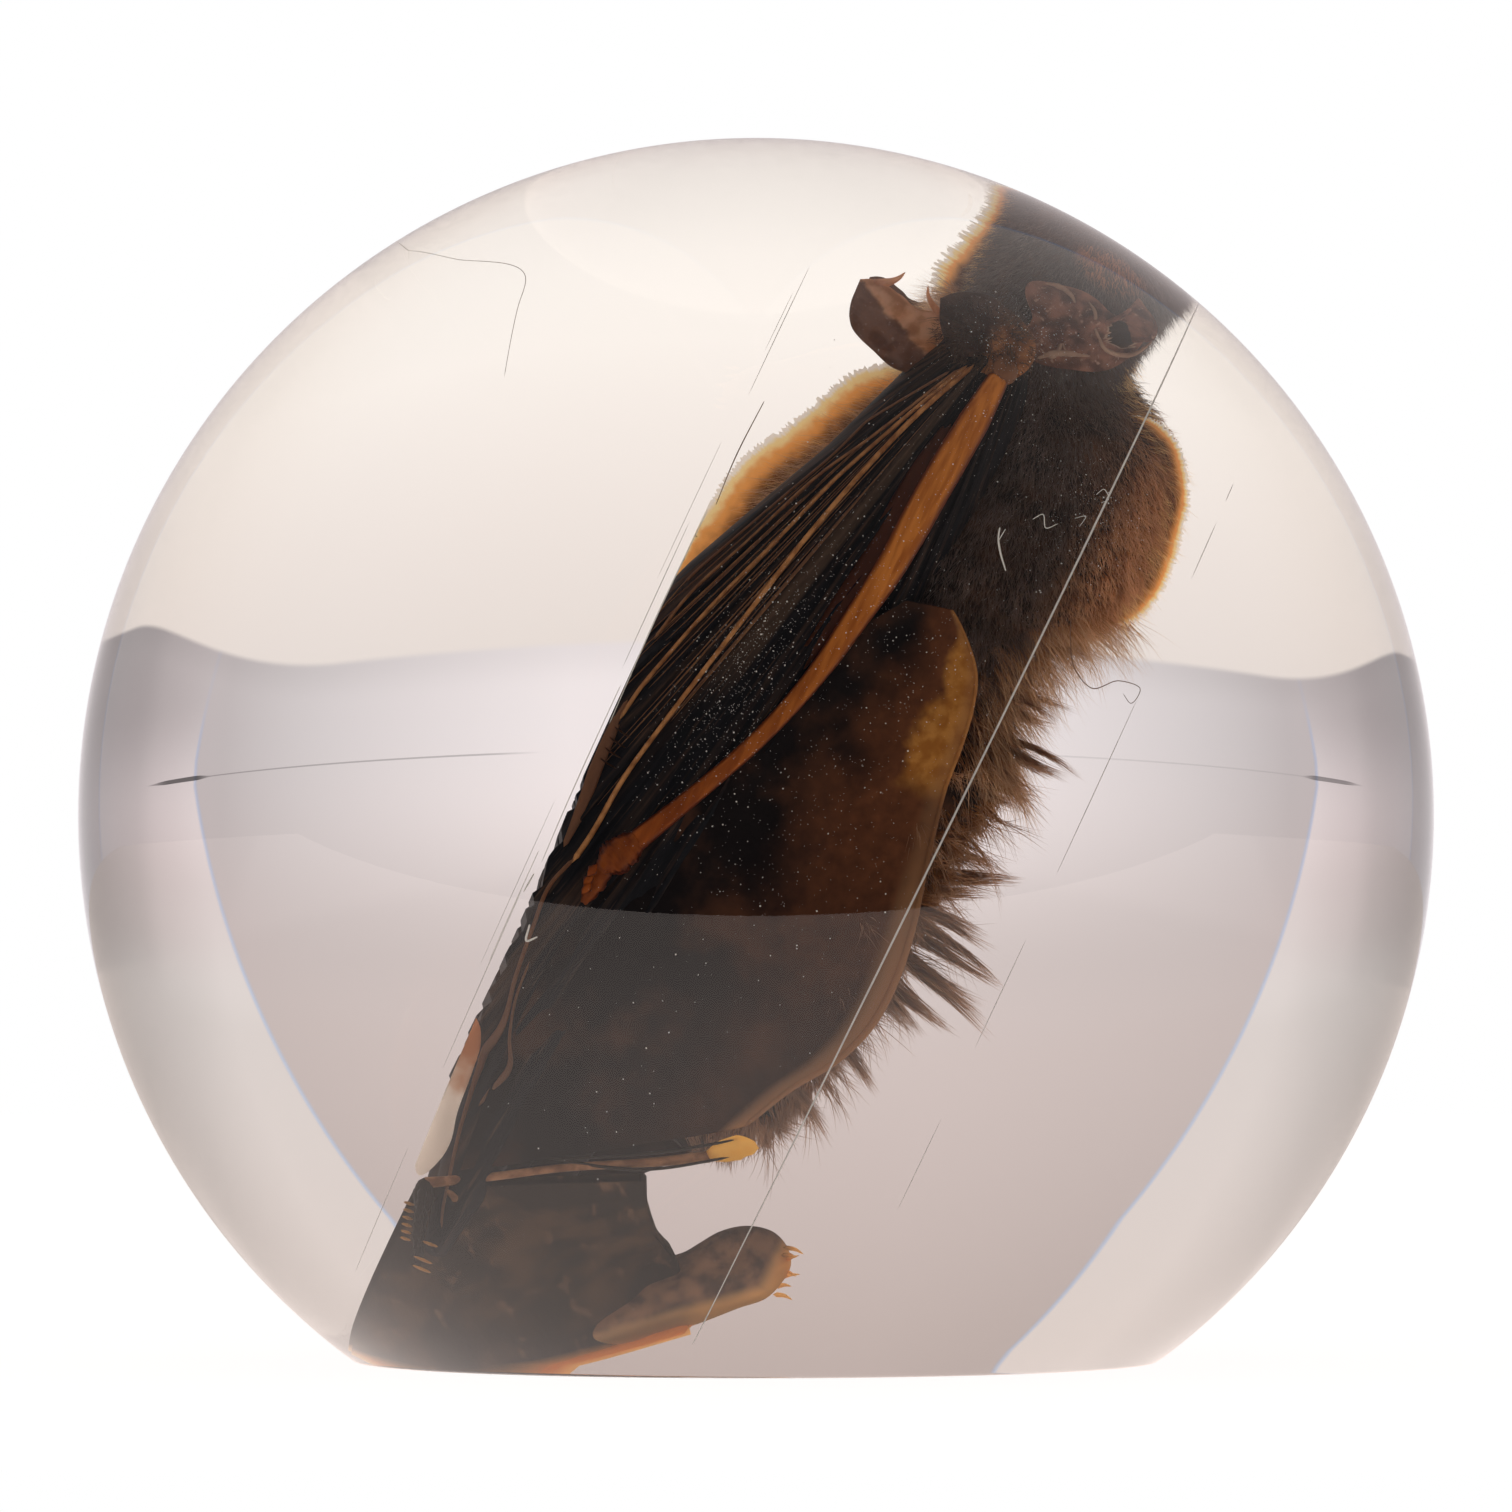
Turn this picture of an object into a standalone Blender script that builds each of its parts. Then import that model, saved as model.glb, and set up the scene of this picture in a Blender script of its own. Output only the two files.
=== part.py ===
"""A small dried bat cast in a clear resin ball that stands on a flat base.

The ball is parted in two along the seam that the bat lies on: the first pour, a cap, and the second
pour, which holds the base and the pocket. The bat is one fused solid in that pocket. Sizes in metres,
+Z up, origin at the middle of the base. The bat's forms are given in millimetres in its own frame:
x towards its back, y away from the viewer, z towards its head, measured from the ball's centre.
"""

import math

import bmesh
import bpy
from mathutils import Matrix, Vector

MM = 0.001

# Ball
BALL_RADIUS = 0.045
CENTRE_HEIGHT = 0.0363
RIM_FILLET = 0.001
BALL_STEPS = 48
UPPER_STEPS = 11
LOWER_STEPS = 6
FILLET_STEPS = 3

# Seam that the bat lies on, in the bat's frame
BAT_TILT = math.radians(24.5)
SEAM_OFFSET = -8.1
SEAM_TURN = math.radians(-4.06)
HALF_GAP = 0.15
BELLY_GAP = 0.4
POCKET_CLEARANCE = 1.0
BLOCK_SIZE = 120.0

# Middle of the bat between its two sides
MID_SIDE = 0.7

# Body from rump to nose: height, back-belly middle, side middle, half depth, half width
BODY_SIDES = 20
BODY = (
    (-14.6, 3.2, 0.7, 2.2, 3.0),
    (-12.6, 2.2, 0.7, 5.4, 5.8),
    (-9.0, 1.2, 0.7, 7.6, 7.4),
    (-4.0, 1.2, 0.7, 8.5, 8.0),
    (2.0, 1.3, 0.7, 8.6, 8.2),
    (8.0, 1.9, 0.7, 9.3, 8.4),
    (13.5, 2.5, 0.7, 9.4, 8.4),
    (16.3, 3.3, 0.7, 9.0, 8.2),
    (20.3, 4.1, 0.7, 7.8, 7.6),
    (22.4, 4.2, 0.8, 7.2, 7.2),
    (23.6, 3.9, 0.9, 6.5, 6.9),
    (24.6, 2.9, 1.1, 5.1, 6.6),
    (27.0, 3.0, 1.8, 4.8, 6.2),
    (29.5, 3.4, 2.8, 5.1, 6.4),
    (32.0, 3.9, 3.6, 5.5, 6.4),
    (34.0, 4.1, 4.1, 5.8, 5.7),
    (35.6, 4.0, 4.4, 5.8, 4.6),
    (37.2, 3.4, 4.7, 4.6, 3.2),
    (38.4, 2.2, 4.8, 2.0, 1.9),
)

# Folded wing on the near side: height, belly edge, back edge, outer side, inner side
WING_SIDES = 12
WING = (
    (27.2, -0.6, 2.8, -8.7, -5.5),
    (24.0, -2.0, 3.7, -9.1, -3.5),
    (20.6, -3.1, 3.7, -9.4, -2.4),
    (17.3, -4.2, 3.5, -9.6, -1.6),
    (14.4, -5.5, 3.2, -9.7, -1.0),
    (11.7, -6.7, 2.9, -9.8, -0.5),
    (9.0, -7.9, 2.5, -9.9, 0.0),
    (3.0, -9.6, 1.7, -9.9, 0.0),
    (-3.0, -9.6, -0.4, -9.5, 0.0),
    (-8.0, -9.4, -1.5, -8.7, 0.0),
    (-14.6, -9.2, -2.7, -8.0, -0.5),
    (-15.6, -7.4, -2.9, -7.9, -0.7),
    (-20.0, -7.1, -3.8, -7.4, -1.5),
    (-26.5, -6.0, -5.0, -6.0, -3.2),
)

# Points round each limb and each thin bone
LIMB_SIDES = 8
BONE_SIDES = 5
CLAW_SIDES = 4

# Bones that lie on the near wing, from the wrist down: place from belly to back, height
BONE_SINK = 0.1
FOREARM_RADIUS = 0.72
FOREARM = ((2.05, 25.6), (1.52, 20.1), (1.11, 15.3), (0.46, 10.6), (-0.56, 5.8), (-2.62, 0.6), (-5.04, -4.2))
ELBOW_RADII = (0.72, 1.0, 0.4)
ELBOW_REACH = (-1.6, -0.2, 1.2)
FINGER_RADIUS = 0.24
FINGERS = (
    ((0.6, 25.4), (-2.38, 16.9), (-4.25, 9.4), (-5.86, 2.3), (-7.1, -5.8)),
    ((0.3, 25.2), (-3.3, 16.4), (-6.01, 8.64), (-7.85, 1.4)),
    ((0.0, 24.8), (-4.11, 16.1), (-7.33, 8.05), (-7.9, 5.6)),
    ((-0.4, 24.4), (-5.13, 15.6), (-7.9, 8.6)),
)
WING_TIP = ((-7.1, -5.6), (-7.0, -12.4), (-6.85, -15.3), (-6.6, -22.0), (-5.64, -25.0))

# Skin from each arm to the flank and the knee: its line on the wing and its free edge
FLANK_DEPTHS = (3.6, 2.6, 0.8)
FLANK_ROWS = 7
FLANK_INNER = (
    (2.3, -8.6, 12.4), (-1.0, -9.2, 5.8), (-3.1, -9.2, 0.4), (-5.2, -8.6, -5.0), (-6.2, -7.8, -12.0),
    (-5.0, -7.0, -18.0),
)
FLANK_EDGE = (
    (4.6, -7.6, 12.9), (7.25, -6.6, 8.9), (7.6, -6.2, 4.9), (8.4, -5.6, 0.5), (9.2, -5.2, -4.7),
    (8.3, -5.0, -8.8), (5.6, -5.0, -13.6),
)
FAR_FLANK_SHORTER = 2.2

# Thumbs: outline of the near one in x and z, middle and share of size for the far one
THUMB_OUTLINE = (
    (-6.4, 26.1), (-6.0, 24.3), (-5.1, 23.5), (-3.6, 22.9), (-0.6, 23.6), (-0.3, 25.6),
    (-2.1, 26.8), (-3.4, 26.5), (-4.5, 26.9), (-6.2, 27.0),
)
THUMB_MIDDLE = (-3.6, 25.0)
THUMB_SIDE = -6.5
THUMB_HALF = 1.0
THUMB_CLAWS = (
    ((-5.5, -6.5, 26.8), (-4.95, -6.5, 27.5), (-4.5, -6.5, 28.3)),
    ((-2.0, -6.5, 26.3), (-2.6, -6.5, 27.1), (-3.2, -6.5, 28.0)),
)
CLAW_RADII = (0.4, 0.2, 0.05)
FAR_THUMB_MIDDLE = (-3.3, 21.5)
FAR_THUMB_SIDE = 7.6
FAR_THUMB_SHARE = 0.62

# Ears: root, middle and tip with the half width and half thickness there
EAR_NEAR = (
    ((6.0, -1.3, 29.0), 1.3, 0.9),
    ((6.8, -1.9, 30.4), 1.6, 0.7),
    ((7.2, -2.1, 31.6), 1.2, 0.45),
    ((7.1, -2.0, 32.7), 0.4, 0.25),
)
EAR_MIDDLE_SIDE = 3.0
EAR_TURN = math.radians(28.0)
EAR_SIDES = 10

# Legs, feet and tail skin
NEAR_LEG_RADII = (1.5, 0.75, 0.45, 0.4, 0.45)
NEAR_LEG = (
    (1.0, -3.6, -11.0), (5.9, -5.2, -14.5), (4.6, -5.6, -15.7), (-1.5, -6.1, -19.4), (-7.4, -6.5, -23.4),
)
FAR_LEG_RADII = (1.5, 1.1, 0.9, 0.9)
FAR_LEG = ((0.5, 5.0, -11.0), (-1.6, 6.4, -17.0), (-1.0, 6.6, -20.6), (3.4, 6.4, -21.4))
TAIL_SKIN_THICKNESS = 0.9
TAIL_SKIN_ROWS = 6
TAIL_SKIN_NEAR = ((2.2, -5.6, -17.8), (-2.4, -5.9, -20.3), (-7.7, -6.3, -23.4))
TAIL_SKIN_FAR = ((6.4, 6.2, -21.0), (0.6, 6.6, -26.2), (-7.3, 6.9, -31.6))
TAIL_SKIN_SIDE = (
    (2.2, -5.6, -17.8), (2.8, -2.0, -18.5), (3.25, 0.0, -18.7), (3.85, 2.5, -18.7),
    (4.5, 4.8, -18.6), (6.4, 6.2, -21.0),
)
TAIL_SIDE_FADE = 1.6
TOE_COUNT = 5
TOE_RADII = (0.34, 0.28, 0.1)
TOE_LENGTH = 4.2
NEAR_FOOT = (-7.0, -6.4, -23.6)
NEAR_FOOT_REACH = Vector((0.22, 0.1, -0.95))
NEAR_FOOT_SPREAD = Vector((0.25, 1.0, 0.0))
SOLE_REACH = 0.9
SOLE_RADII = (0.5, 0.8, 0.6)
TOE_STEP = 0.42
TOE_BEND = 0.45
TOE_SPLAY = 0.35
TIP_SPLAY = 0.6
TOE_SHORTER = 0.05

# Far foot: outline in x and z, which the tail skin joins, and the claws at its end
FAR_FOOT = (
    (4.3, -18.5), (5.3, -17.4), (6.0, -16.5), (7.1, -15.75), (8.1, -15.65), (8.9, -16.1),
    (9.2, -17.0), (8.9, -18.3), (6.7, -20.7), (4.1, -23.1), (2.6, -23.6), (2.4, -21.4),
)
FAR_FOOT_MIDDLE = (5.2, -20.0)
FAR_FOOT_SIDE = 6.2
FAR_FOOT_HALF = 1.1
FAR_CLAWS = 5
FAR_CLAW_ROOT = Vector((8.6, 5.7, -16.2))
FAR_CLAW_STEP = Vector((0.1, 0.25, -0.42))
FAR_CLAW_REACH = Vector((1.0, 0.0, 0.3))
FAR_CLAW_HALF = 0.4
FAR_CLAW_RADII = (0.2, 0.14, 0.04)

# Domed lobes: shares of the outline from each face's middle to the edge
LOBE_SHARES = (0.45, 0.85)

# Fur locks: rows down the back, and a patch on the throat and chest
LOCK_SIDES = 4
BACK_LOCK_ROWS = 10
BACK_LOCKS_IN_ROW = 5
BACK_LOCK_TOP = 23.5
BACK_LOCK_FOOT = -12.6
BACK_LOCK_SPREAD = math.radians(58.0)
CHEST_LOCKS = 6
HEAD_LOCKS = 5
LOCK_RADIUS = 1.25
LOCK_ROOT_DEPTH = 1.5
LOCK_TIP_RADIUS = 0.07
LOCK_WAIST = 0.6
LOCK_BEND_REACH = 0.45
LOCK_BEND_DROOP = 0.3
LOCK_TIP_REACH = 0.95
BACK_LOCK_STAGGER = 0.9
BACK_LOCK_TURN = 0.12
BACK_LOCK_SIDE_SHORTER = 0.25
BACK_LOCK_UNEVEN = 0.12
BACK_LOCK_DROOP = 0.28
BACK_LOCK_DROOP_BELOW = 0.25
SHORT_LOCK = 1.4
LOIN_LOCK_LONGER = 3.1
LOIN_MIDDLE = -1.0
LOIN_REACH = 8.5

# Locks on the chest and the head: place of the first, step, turn, length and droop
CHEST_LOCK_TOP = 20.5
CHEST_LOCK_STEP = 1.7
CHEST_LOCK_TURN = math.radians(16.0)
CHEST_LOCK_LENGTH = 1.0
CHEST_LOCK_DROOP = 0.8
HEAD_LOCK_TOP = 33.0
HEAD_LOCK_START = math.radians(-64.0)
HEAD_LOCK_TURN = math.radians(32.0)
HEAD_LOCK_LENGTH = 1.1
HEAD_LOCK_DROOP = 0.9


def clear_scene():
    for item in list(bpy.data.objects):
        bpy.data.objects.remove(item, do_unlink=True)


def new_collection(name):
    made = bpy.data.collections.new(name)
    bpy.context.scene.collection.children.link(made)
    return made


def new_material(name, colour, roughness, metallic=0.0, transmission=0.0):
    made = bpy.data.materials.new(name)
    made.use_nodes = True
    shader = made.node_tree.nodes["Principled BSDF"]
    shader.inputs["Base Color"].default_value = (*colour, 1.0)
    shader.inputs["Roughness"].default_value = roughness
    shader.inputs["Metallic"].default_value = metallic
    shader.inputs["Transmission Weight"].default_value = transmission
    made.diffuse_color = (*colour, 1.0)
    return made


def add_object(name, mesh, collection, parent=None):
    made = bpy.data.objects.new(name, mesh)
    collection.objects.link(made)
    made.parent = parent
    return made


def add_form(name, mesh, collection, parent):
    """A solid that is joined to, or cut from, another: it stays hidden in the model."""
    made = add_object(name, mesh, collection, parent)
    made.hide_render = True
    made.display_type = "WIRE"
    return made


def mesh_from(name, bm):
    bmesh.ops.recalc_face_normals(bm, faces=bm.faces)
    mesh = bpy.data.meshes.new(name)
    bm.to_mesh(mesh)
    bm.free()
    return mesh


def loft(name, rings):
    """A closed skin over rings of equal point counts, with a flat end on each side."""
    bm = bmesh.new()
    made = [[bm.verts.new(point * MM) for point in ring] for ring in rings]
    count = len(made[0])
    for lower, upper in zip(made, made[1:]):
        for index in range(count):
            after = (index + 1) % count
            bm.faces.new((lower[index], lower[after], upper[after], upper[index]))
    bm.faces.new(list(reversed(made[0])))
    bm.faces.new(made[-1])
    return mesh_from(name, bm)


def ellipse(middle, half_u, half_v, axis_u, axis_v, sides):
    angles = [2.0 * math.pi * (index + 0.5) / sides for index in range(sides)]
    return [middle + axis_u * (half_u * math.cos(a)) + axis_v * (half_v * math.sin(a)) for a in angles]


def side_axes(direction):
    """Two axes across a direction, the first as near to the bat's side axis as can be."""
    along = direction.normalized()
    across = Vector((0.0, 1.0, 0.0)) - along * along.y
    if across.length < 0.05:
        across = Vector((1.0, 0.0, 0.0)) - along * along.x
    across.normalize()
    return across, along.cross(across)


def tube(name, points, radii, sides):
    """A round limb through the points, thick or thin as the radii say."""
    places = [Vector(point) for point in points]
    rings = []
    for index, place in enumerate(places):
        before = places[max(index - 1, 0)]
        after = places[min(index + 1, len(places) - 1)]
        axis_u, axis_v = side_axes(after - before)
        rings.append(ellipse(place, radii[index], radii[index], axis_u, axis_v, sides))
    return loft(name, rings)


def mirrored(points):
    """The same points on the bat's other side, as far off the seam as the first."""
    lean = -math.tan(SEAM_TURN)
    return [(x + lean * 2.0 * (MID_SIDE - y), 2.0 * MID_SIDE - y, z) for x, y, z in points]


def ball_profile():
    """Half outline of the ball, down its outer side: arc, rim fillet, flat base."""
    fillet_x = math.sqrt((BALL_RADIUS - RIM_FILLET) ** 2 - (CENTRE_HEIGHT - RIM_FILLET) ** 2)
    tangent = math.atan2(RIM_FILLET - CENTRE_HEIGHT, fillet_x)
    points = []
    upper = [math.pi / 2 * (1.0 - index / UPPER_STEPS) for index in range(UPPER_STEPS + 1)]
    lower = [tangent * index / LOWER_STEPS for index in range(1, LOWER_STEPS + 1)]
    for angle in upper + lower:
        points.append((BALL_RADIUS * math.cos(angle), CENTRE_HEIGHT + BALL_RADIUS * math.sin(angle)))
    for index in range(1, FILLET_STEPS + 1):
        angle = tangent + (-math.pi / 2 - tangent) * index / FILLET_STEPS
        points.append((fillet_x + RIM_FILLET * math.cos(angle), RIM_FILLET + RIM_FILLET * math.sin(angle)))
    points[0] = (0.0, CENTRE_HEIGHT + BALL_RADIUS)
    points[-1] = (points[-1][0], 0.0)
    points.append((0.0, 0.0))
    return points


def make_ball(name, collection, material):
    points = ball_profile()
    mesh = bpy.data.meshes.new(name)
    edges = [(index, index + 1) for index in range(len(points) - 1)]
    mesh.from_pydata([(x, 0.0, z) for x, z in points], edges, [])
    mesh.materials.append(material)
    ball = add_object(name, mesh, collection)
    screw = ball.modifiers.new("turn", "SCREW")
    screw.steps = BALL_STEPS
    screw.render_steps = BALL_STEPS
    screw.use_merge_vertices = True
    screw.merge_threshold = 0.00001
    screw.use_smooth_shade = True
    return ball


def add_boolean(target, name, operation, other):
    cut = target.modifiers.new(name, "BOOLEAN")
    cut.operation = operation
    cut.solver = "EXACT"
    if isinstance(other, bpy.types.Collection):
        cut.operand_type = "COLLECTION"
        cut.collection = other
    else:
        cut.object = other
    return cut


def seam_block(name, start, towards_back, collection, frame):
    """A block that fills one side of the seam, from the given distance off it."""
    bm = bmesh.new()
    bmesh.ops.create_cube(bm, size=BLOCK_SIZE * MM)
    reach = BLOCK_SIZE / 2.0
    middle = SEAM_OFFSET + start + (reach if towards_back else -reach)
    bmesh.ops.translate(bm, verts=bm.verts, vec=Vector((middle * MM, 0.0, 0.0)))
    block = add_form(name, mesh_from(name, bm), collection, frame)
    block.rotation_euler = (0.0, 0.0, SEAM_TURN)
    return block


def body_ring(station, sides=BODY_SIDES):
    height, back, side, depth, width = station
    middle = Vector((back, side, height))
    return ellipse(middle, depth, width, Vector((1, 0, 0)), Vector((0, 1, 0)), sides)


def wing_ring(station, far):
    height, belly_edge, back_edge, outer, inner = station
    middle = ((belly_edge + back_edge) / 2, (outer + inner) / 2, height)
    middle = Vector(mirrored([middle])[0] if far else middle)
    half_depth = (back_edge - belly_edge) / 2
    half_width = abs(outer - inner) / 2
    return ellipse(middle, half_depth, half_width, Vector((1, 0, 0)), Vector((0, 1, 0)), WING_SIDES)


def station_at(stations, height):
    """The station at any height, between the given ones, or the nearest end."""
    for one, other in zip(stations, stations[1:]):
        share = (height - one[0]) / (other[0] - one[0])
        if 0.0 <= share <= 1.0:
            return [a + (b - a) * share for a, b in zip(one, other)]
    return min(stations, key=lambda station: abs(station[0] - height))


def on_wing(places, sink):
    """Points on the near wing's outer face over the given places, sunk a little into it."""
    points = []
    for x, height in places:
        _, belly_edge, back_edge, outer, inner = station_at(WING, height)
        off_middle = (x - (belly_edge + back_edge) / 2) / ((back_edge - belly_edge) / 2)
        bulge = math.sqrt(max(1.0 - off_middle ** 2, 0.0))
        points.append((x, (outer + inner) / 2 - bulge * (inner - outer) / 2 + sink, height))
    return points


def lock_mesh(name, height, angle, length, droop):
    """A pointed lock that leaves the body at an angle off the back and bends towards the tail."""
    _, back, side, depth, width = station_at(BODY, height)
    out = Vector((math.cos(angle) * width, math.sin(angle) * depth, 0.0)).normalized()
    surface = Vector((back + depth * math.cos(angle), side + width * math.sin(angle), height))
    down = Vector((0.0, 0.0, -1.0))
    root = surface - out * LOCK_ROOT_DEPTH
    half_way = surface + out * (length * LOCK_BEND_REACH) + down * (droop * length * LOCK_BEND_DROOP)
    tip = surface + out * (length * LOCK_TIP_REACH) + down * (droop * length)
    radii = (LOCK_RADIUS, LOCK_RADIUS * LOCK_WAIST, LOCK_TIP_RADIUS)
    return tube(name, (root, half_way, tip), radii, LOCK_SIDES)


def back_lock_length(height):
    """Short plush over the shoulders, long wet points over the loins, middling at the rump."""
    loins = math.exp(-((height - LOIN_MIDDLE) / LOIN_REACH) ** 2)
    return SHORT_LOCK + LOIN_LOCK_LONGER * loins


def add_locks(collection, frame):
    locks = []
    for row in range(BACK_LOCK_ROWS):
        share = row / (BACK_LOCK_ROWS - 1)
        for place in range(BACK_LOCKS_IN_ROW):
            stagger = ((place * 2 + row) % 3 - 1) * BACK_LOCK_STAGGER
            height = BACK_LOCK_TOP + (BACK_LOCK_FOOT - BACK_LOCK_TOP) * share + stagger
            spread = (place - (BACK_LOCKS_IN_ROW - 1) / 2) / ((BACK_LOCKS_IN_ROW - 1) / 2)
            angle = BACK_LOCK_SPREAD * (spread + BACK_LOCK_TURN * (row % 2 * 2 - 1))
            length = back_lock_length(height) * (1.0 + BACK_LOCK_UNEVEN * stagger)
            length *= 1.0 - BACK_LOCK_SIDE_SHORTER * abs(spread)
            droop = BACK_LOCK_DROOP + BACK_LOCK_DROOP_BELOW * share
            locks.append((f"form_back_lock_{row}_{place}", height, angle, length, droop))
    for index in range(CHEST_LOCKS):
        height = CHEST_LOCK_TOP - CHEST_LOCK_STEP * index
        angle = math.pi + CHEST_LOCK_TURN * (index % 3 - 1)
        locks.append((f"form_chest_lock_{index}", height, angle, CHEST_LOCK_LENGTH, CHEST_LOCK_DROOP))
    for index in range(HEAD_LOCKS):
        height = HEAD_LOCK_TOP - index % 2
        angle = HEAD_LOCK_START + HEAD_LOCK_TURN * index
        locks.append((f"form_head_lock_{index}", height, angle, HEAD_LOCK_LENGTH, HEAD_LOCK_DROOP))
    for name, *shape in locks:
        add_form(name, lock_mesh(name, *shape), collection, frame)


def add_ear(name, far, collection, frame):
    """A leaf that stands out from the side of the head and leans back."""
    places = [Vector(place) for place, _, _ in EAR_NEAR]
    if far:
        places = [Vector((p.x, 2.0 * EAR_MIDDLE_SIDE - p.y, p.z)) for p in places]
    rings = []
    for index, place in enumerate(places):
        along = places[min(index + 1, len(places) - 1)] - places[max(index - 1, 0)]
        turn = Matrix.Rotation(-EAR_TURN if far else EAR_TURN, 3, "Z")
        across = turn @ Vector((1.0, 0.0, 0.0))
        across = (across - along.normalized() * across.dot(along.normalized())).normalized()
        through = along.normalized().cross(across)
        _, half_width, half_thick = EAR_NEAR[index]
        rings.append(ellipse(place, half_width, half_thick, across, through, EAR_SIDES))
    add_form(name, loft(name, rings), collection, frame)


def along_line(points, share):
    """The place at a share of the way along three points, as a smooth curve."""
    first, middle, last = (Vector(point) for point in points)
    bend = middle * 2.0 - (first + last) * 0.5
    return first * (1 - share) ** 2 + bend * (2 * share * (1 - share)) + last * share ** 2


def along_path(points, share):
    """The place at a share of the way along straight runs between the points."""
    places = [Vector(point) for point in points]
    run = min(int(share * (len(places) - 1)), len(places) - 2)
    return places[run].lerp(places[run + 1], share * (len(places) - 1) - run)


def sheet_mesh(name, rows, thickness):
    """A sheet over rows of points, given its thickness."""
    bm = bmesh.new()
    grid = [[bm.verts.new(point * MM) for point in row] for row in rows]
    for first, second in zip(grid, grid[1:]):
        for index in range(len(first) - 1):
            bm.faces.new((first[index], first[index + 1], second[index + 1], second[index]))
    bmesh.ops.recalc_face_normals(bm, faces=bm.faces)
    bmesh.ops.solidify(bm, geom=bm.faces[:], thickness=thickness * MM)
    return mesh_from(name, bm)


def tail_skin_mesh(name):
    """The skin between the legs, with a hollow free edge."""
    rows = []
    for across in range(TAIL_SKIN_ROWS + 1):
        share = across / TAIL_SKIN_ROWS
        row = []
        for step in range(TAIL_SKIN_ROWS + 1):
            along = step / TAIL_SKIN_ROWS
            point = along_line(TAIL_SKIN_NEAR, along).lerp(along_line(TAIL_SKIN_FAR, along), share)
            corner = Vector(TAIL_SKIN_NEAR[0]).lerp(Vector(TAIL_SKIN_FAR[0]), share)
            edge = along_path(TAIL_SKIN_SIDE, share)
            row.append(point + (edge - corner) * (1.0 - along) ** TAIL_SIDE_FADE)
        rows.append(row)
    return sheet_mesh(name, rows, TAIL_SKIN_THICKNESS)


def flank_mesh(name, far):
    """The skin between the arm and the flank: deep where it joins the body, thin at its edge."""
    rings = []
    for step in range(FLANK_ROWS + 1):
        inner = along_path(FLANK_INNER, step / FLANK_ROWS)
        edge = along_path(FLANK_EDGE, step / FLANK_ROWS)
        edge.x -= FAR_FLANK_SHORTER if far else 0.0
        outside = [inner.lerp(edge, index / (len(FLANK_DEPTHS) - 1)) for index in range(len(FLANK_DEPTHS))]
        inside = [point + Vector((0.0, depth, 0.0)) for point, depth in zip(outside, FLANK_DEPTHS)]
        ring = [tuple(point) for point in outside + inside[::-1]]
        rings.append([Vector(point) for point in (mirrored(ring) if far else ring)])
    return loft(name, rings)


def lobe_mesh(name, outline, middle, side, half):
    """A domed lobe with the outline given in x and z, thickest at its middle."""
    centre = Vector((middle[0], side, middle[1]))
    edge = [Vector((x, side, z)) for x, z in outline]
    shares = [-share for share in LOBE_SHARES] + [1.0] + list(reversed(LOBE_SHARES))
    rings = []
    for share in shares:
        bulge = math.sqrt(1.0 - share ** 2) * (half if share > 0.0 else -half)
        ring = [centre.lerp(point, abs(share)) + Vector((0.0, bulge, 0.0)) for point in edge]
        rings.append(ring)
    return loft(name, rings)


def add_foot(name, middle, reach, spread, collection, frame):
    """A sole and its clawed toes, side by side, reaching along one direction."""
    middle = Vector(middle)
    sole = (middle - reach * SOLE_REACH, middle, middle + reach * SOLE_REACH)
    add_form(f"form_{name}_sole", tube("sole", sole, SOLE_RADII, LIMB_SIDES), collection, frame)
    for index in range(TOE_COUNT):
        off_middle = index - (TOE_COUNT - 1) / 2
        step = spread * (TOE_STEP * off_middle)
        start = middle + step
        half_way = start + reach * (TOE_LENGTH * TOE_BEND) + step * TOE_SPLAY
        tip = start + reach * TOE_LENGTH * (1.0 - TOE_SHORTER * abs(off_middle)) + step * TIP_SPLAY
        mesh = tube(f"form_{name}_toe_{index}", (start, half_way, tip), TOE_RADII, BONE_SIDES)
        add_form(mesh.name, mesh, collection, frame)


def add_far_foot(collection, frame):
    sole = lobe_mesh("far foot", FAR_FOOT, FAR_FOOT_MIDDLE, FAR_FOOT_SIDE, FAR_FOOT_HALF)
    add_form("form_far_foot", sole, collection, frame)
    for index in range(FAR_CLAWS):
        root = FAR_CLAW_ROOT + FAR_CLAW_STEP * index
        half_way = FAR_CLAW_REACH * FAR_CLAW_HALF
        claw = tube("claw", (root - half_way, root + half_way, root + FAR_CLAW_REACH), FAR_CLAW_RADII, CLAW_SIDES)
        add_form(f"form_far_claw_{index}", claw, collection, frame)


def add_thumbs(collection, frame):
    near = lobe_mesh("thumb", THUMB_OUTLINE, THUMB_MIDDLE, THUMB_SIDE, THUMB_HALF)
    add_form("form_near_thumb", near, collection, frame)
    for index, claw in enumerate(THUMB_CLAWS):
        add_form(f"form_thumb_claw_{index}", tube("claw", claw, CLAW_RADII, BONE_SIDES), collection, frame)
    outline = []
    for x, z in THUMB_OUTLINE:
        far_x = FAR_THUMB_MIDDLE[0] + (x - THUMB_MIDDLE[0]) * FAR_THUMB_SHARE
        far_z = FAR_THUMB_MIDDLE[1] + (z - THUMB_MIDDLE[1]) * FAR_THUMB_SHARE
        outline.append((far_x, far_z))
    far = lobe_mesh("far thumb", outline, FAR_THUMB_MIDDLE, FAR_THUMB_SIDE, THUMB_HALF * FAR_THUMB_SHARE)
    add_form("form_far_thumb", far, collection, frame)


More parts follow.
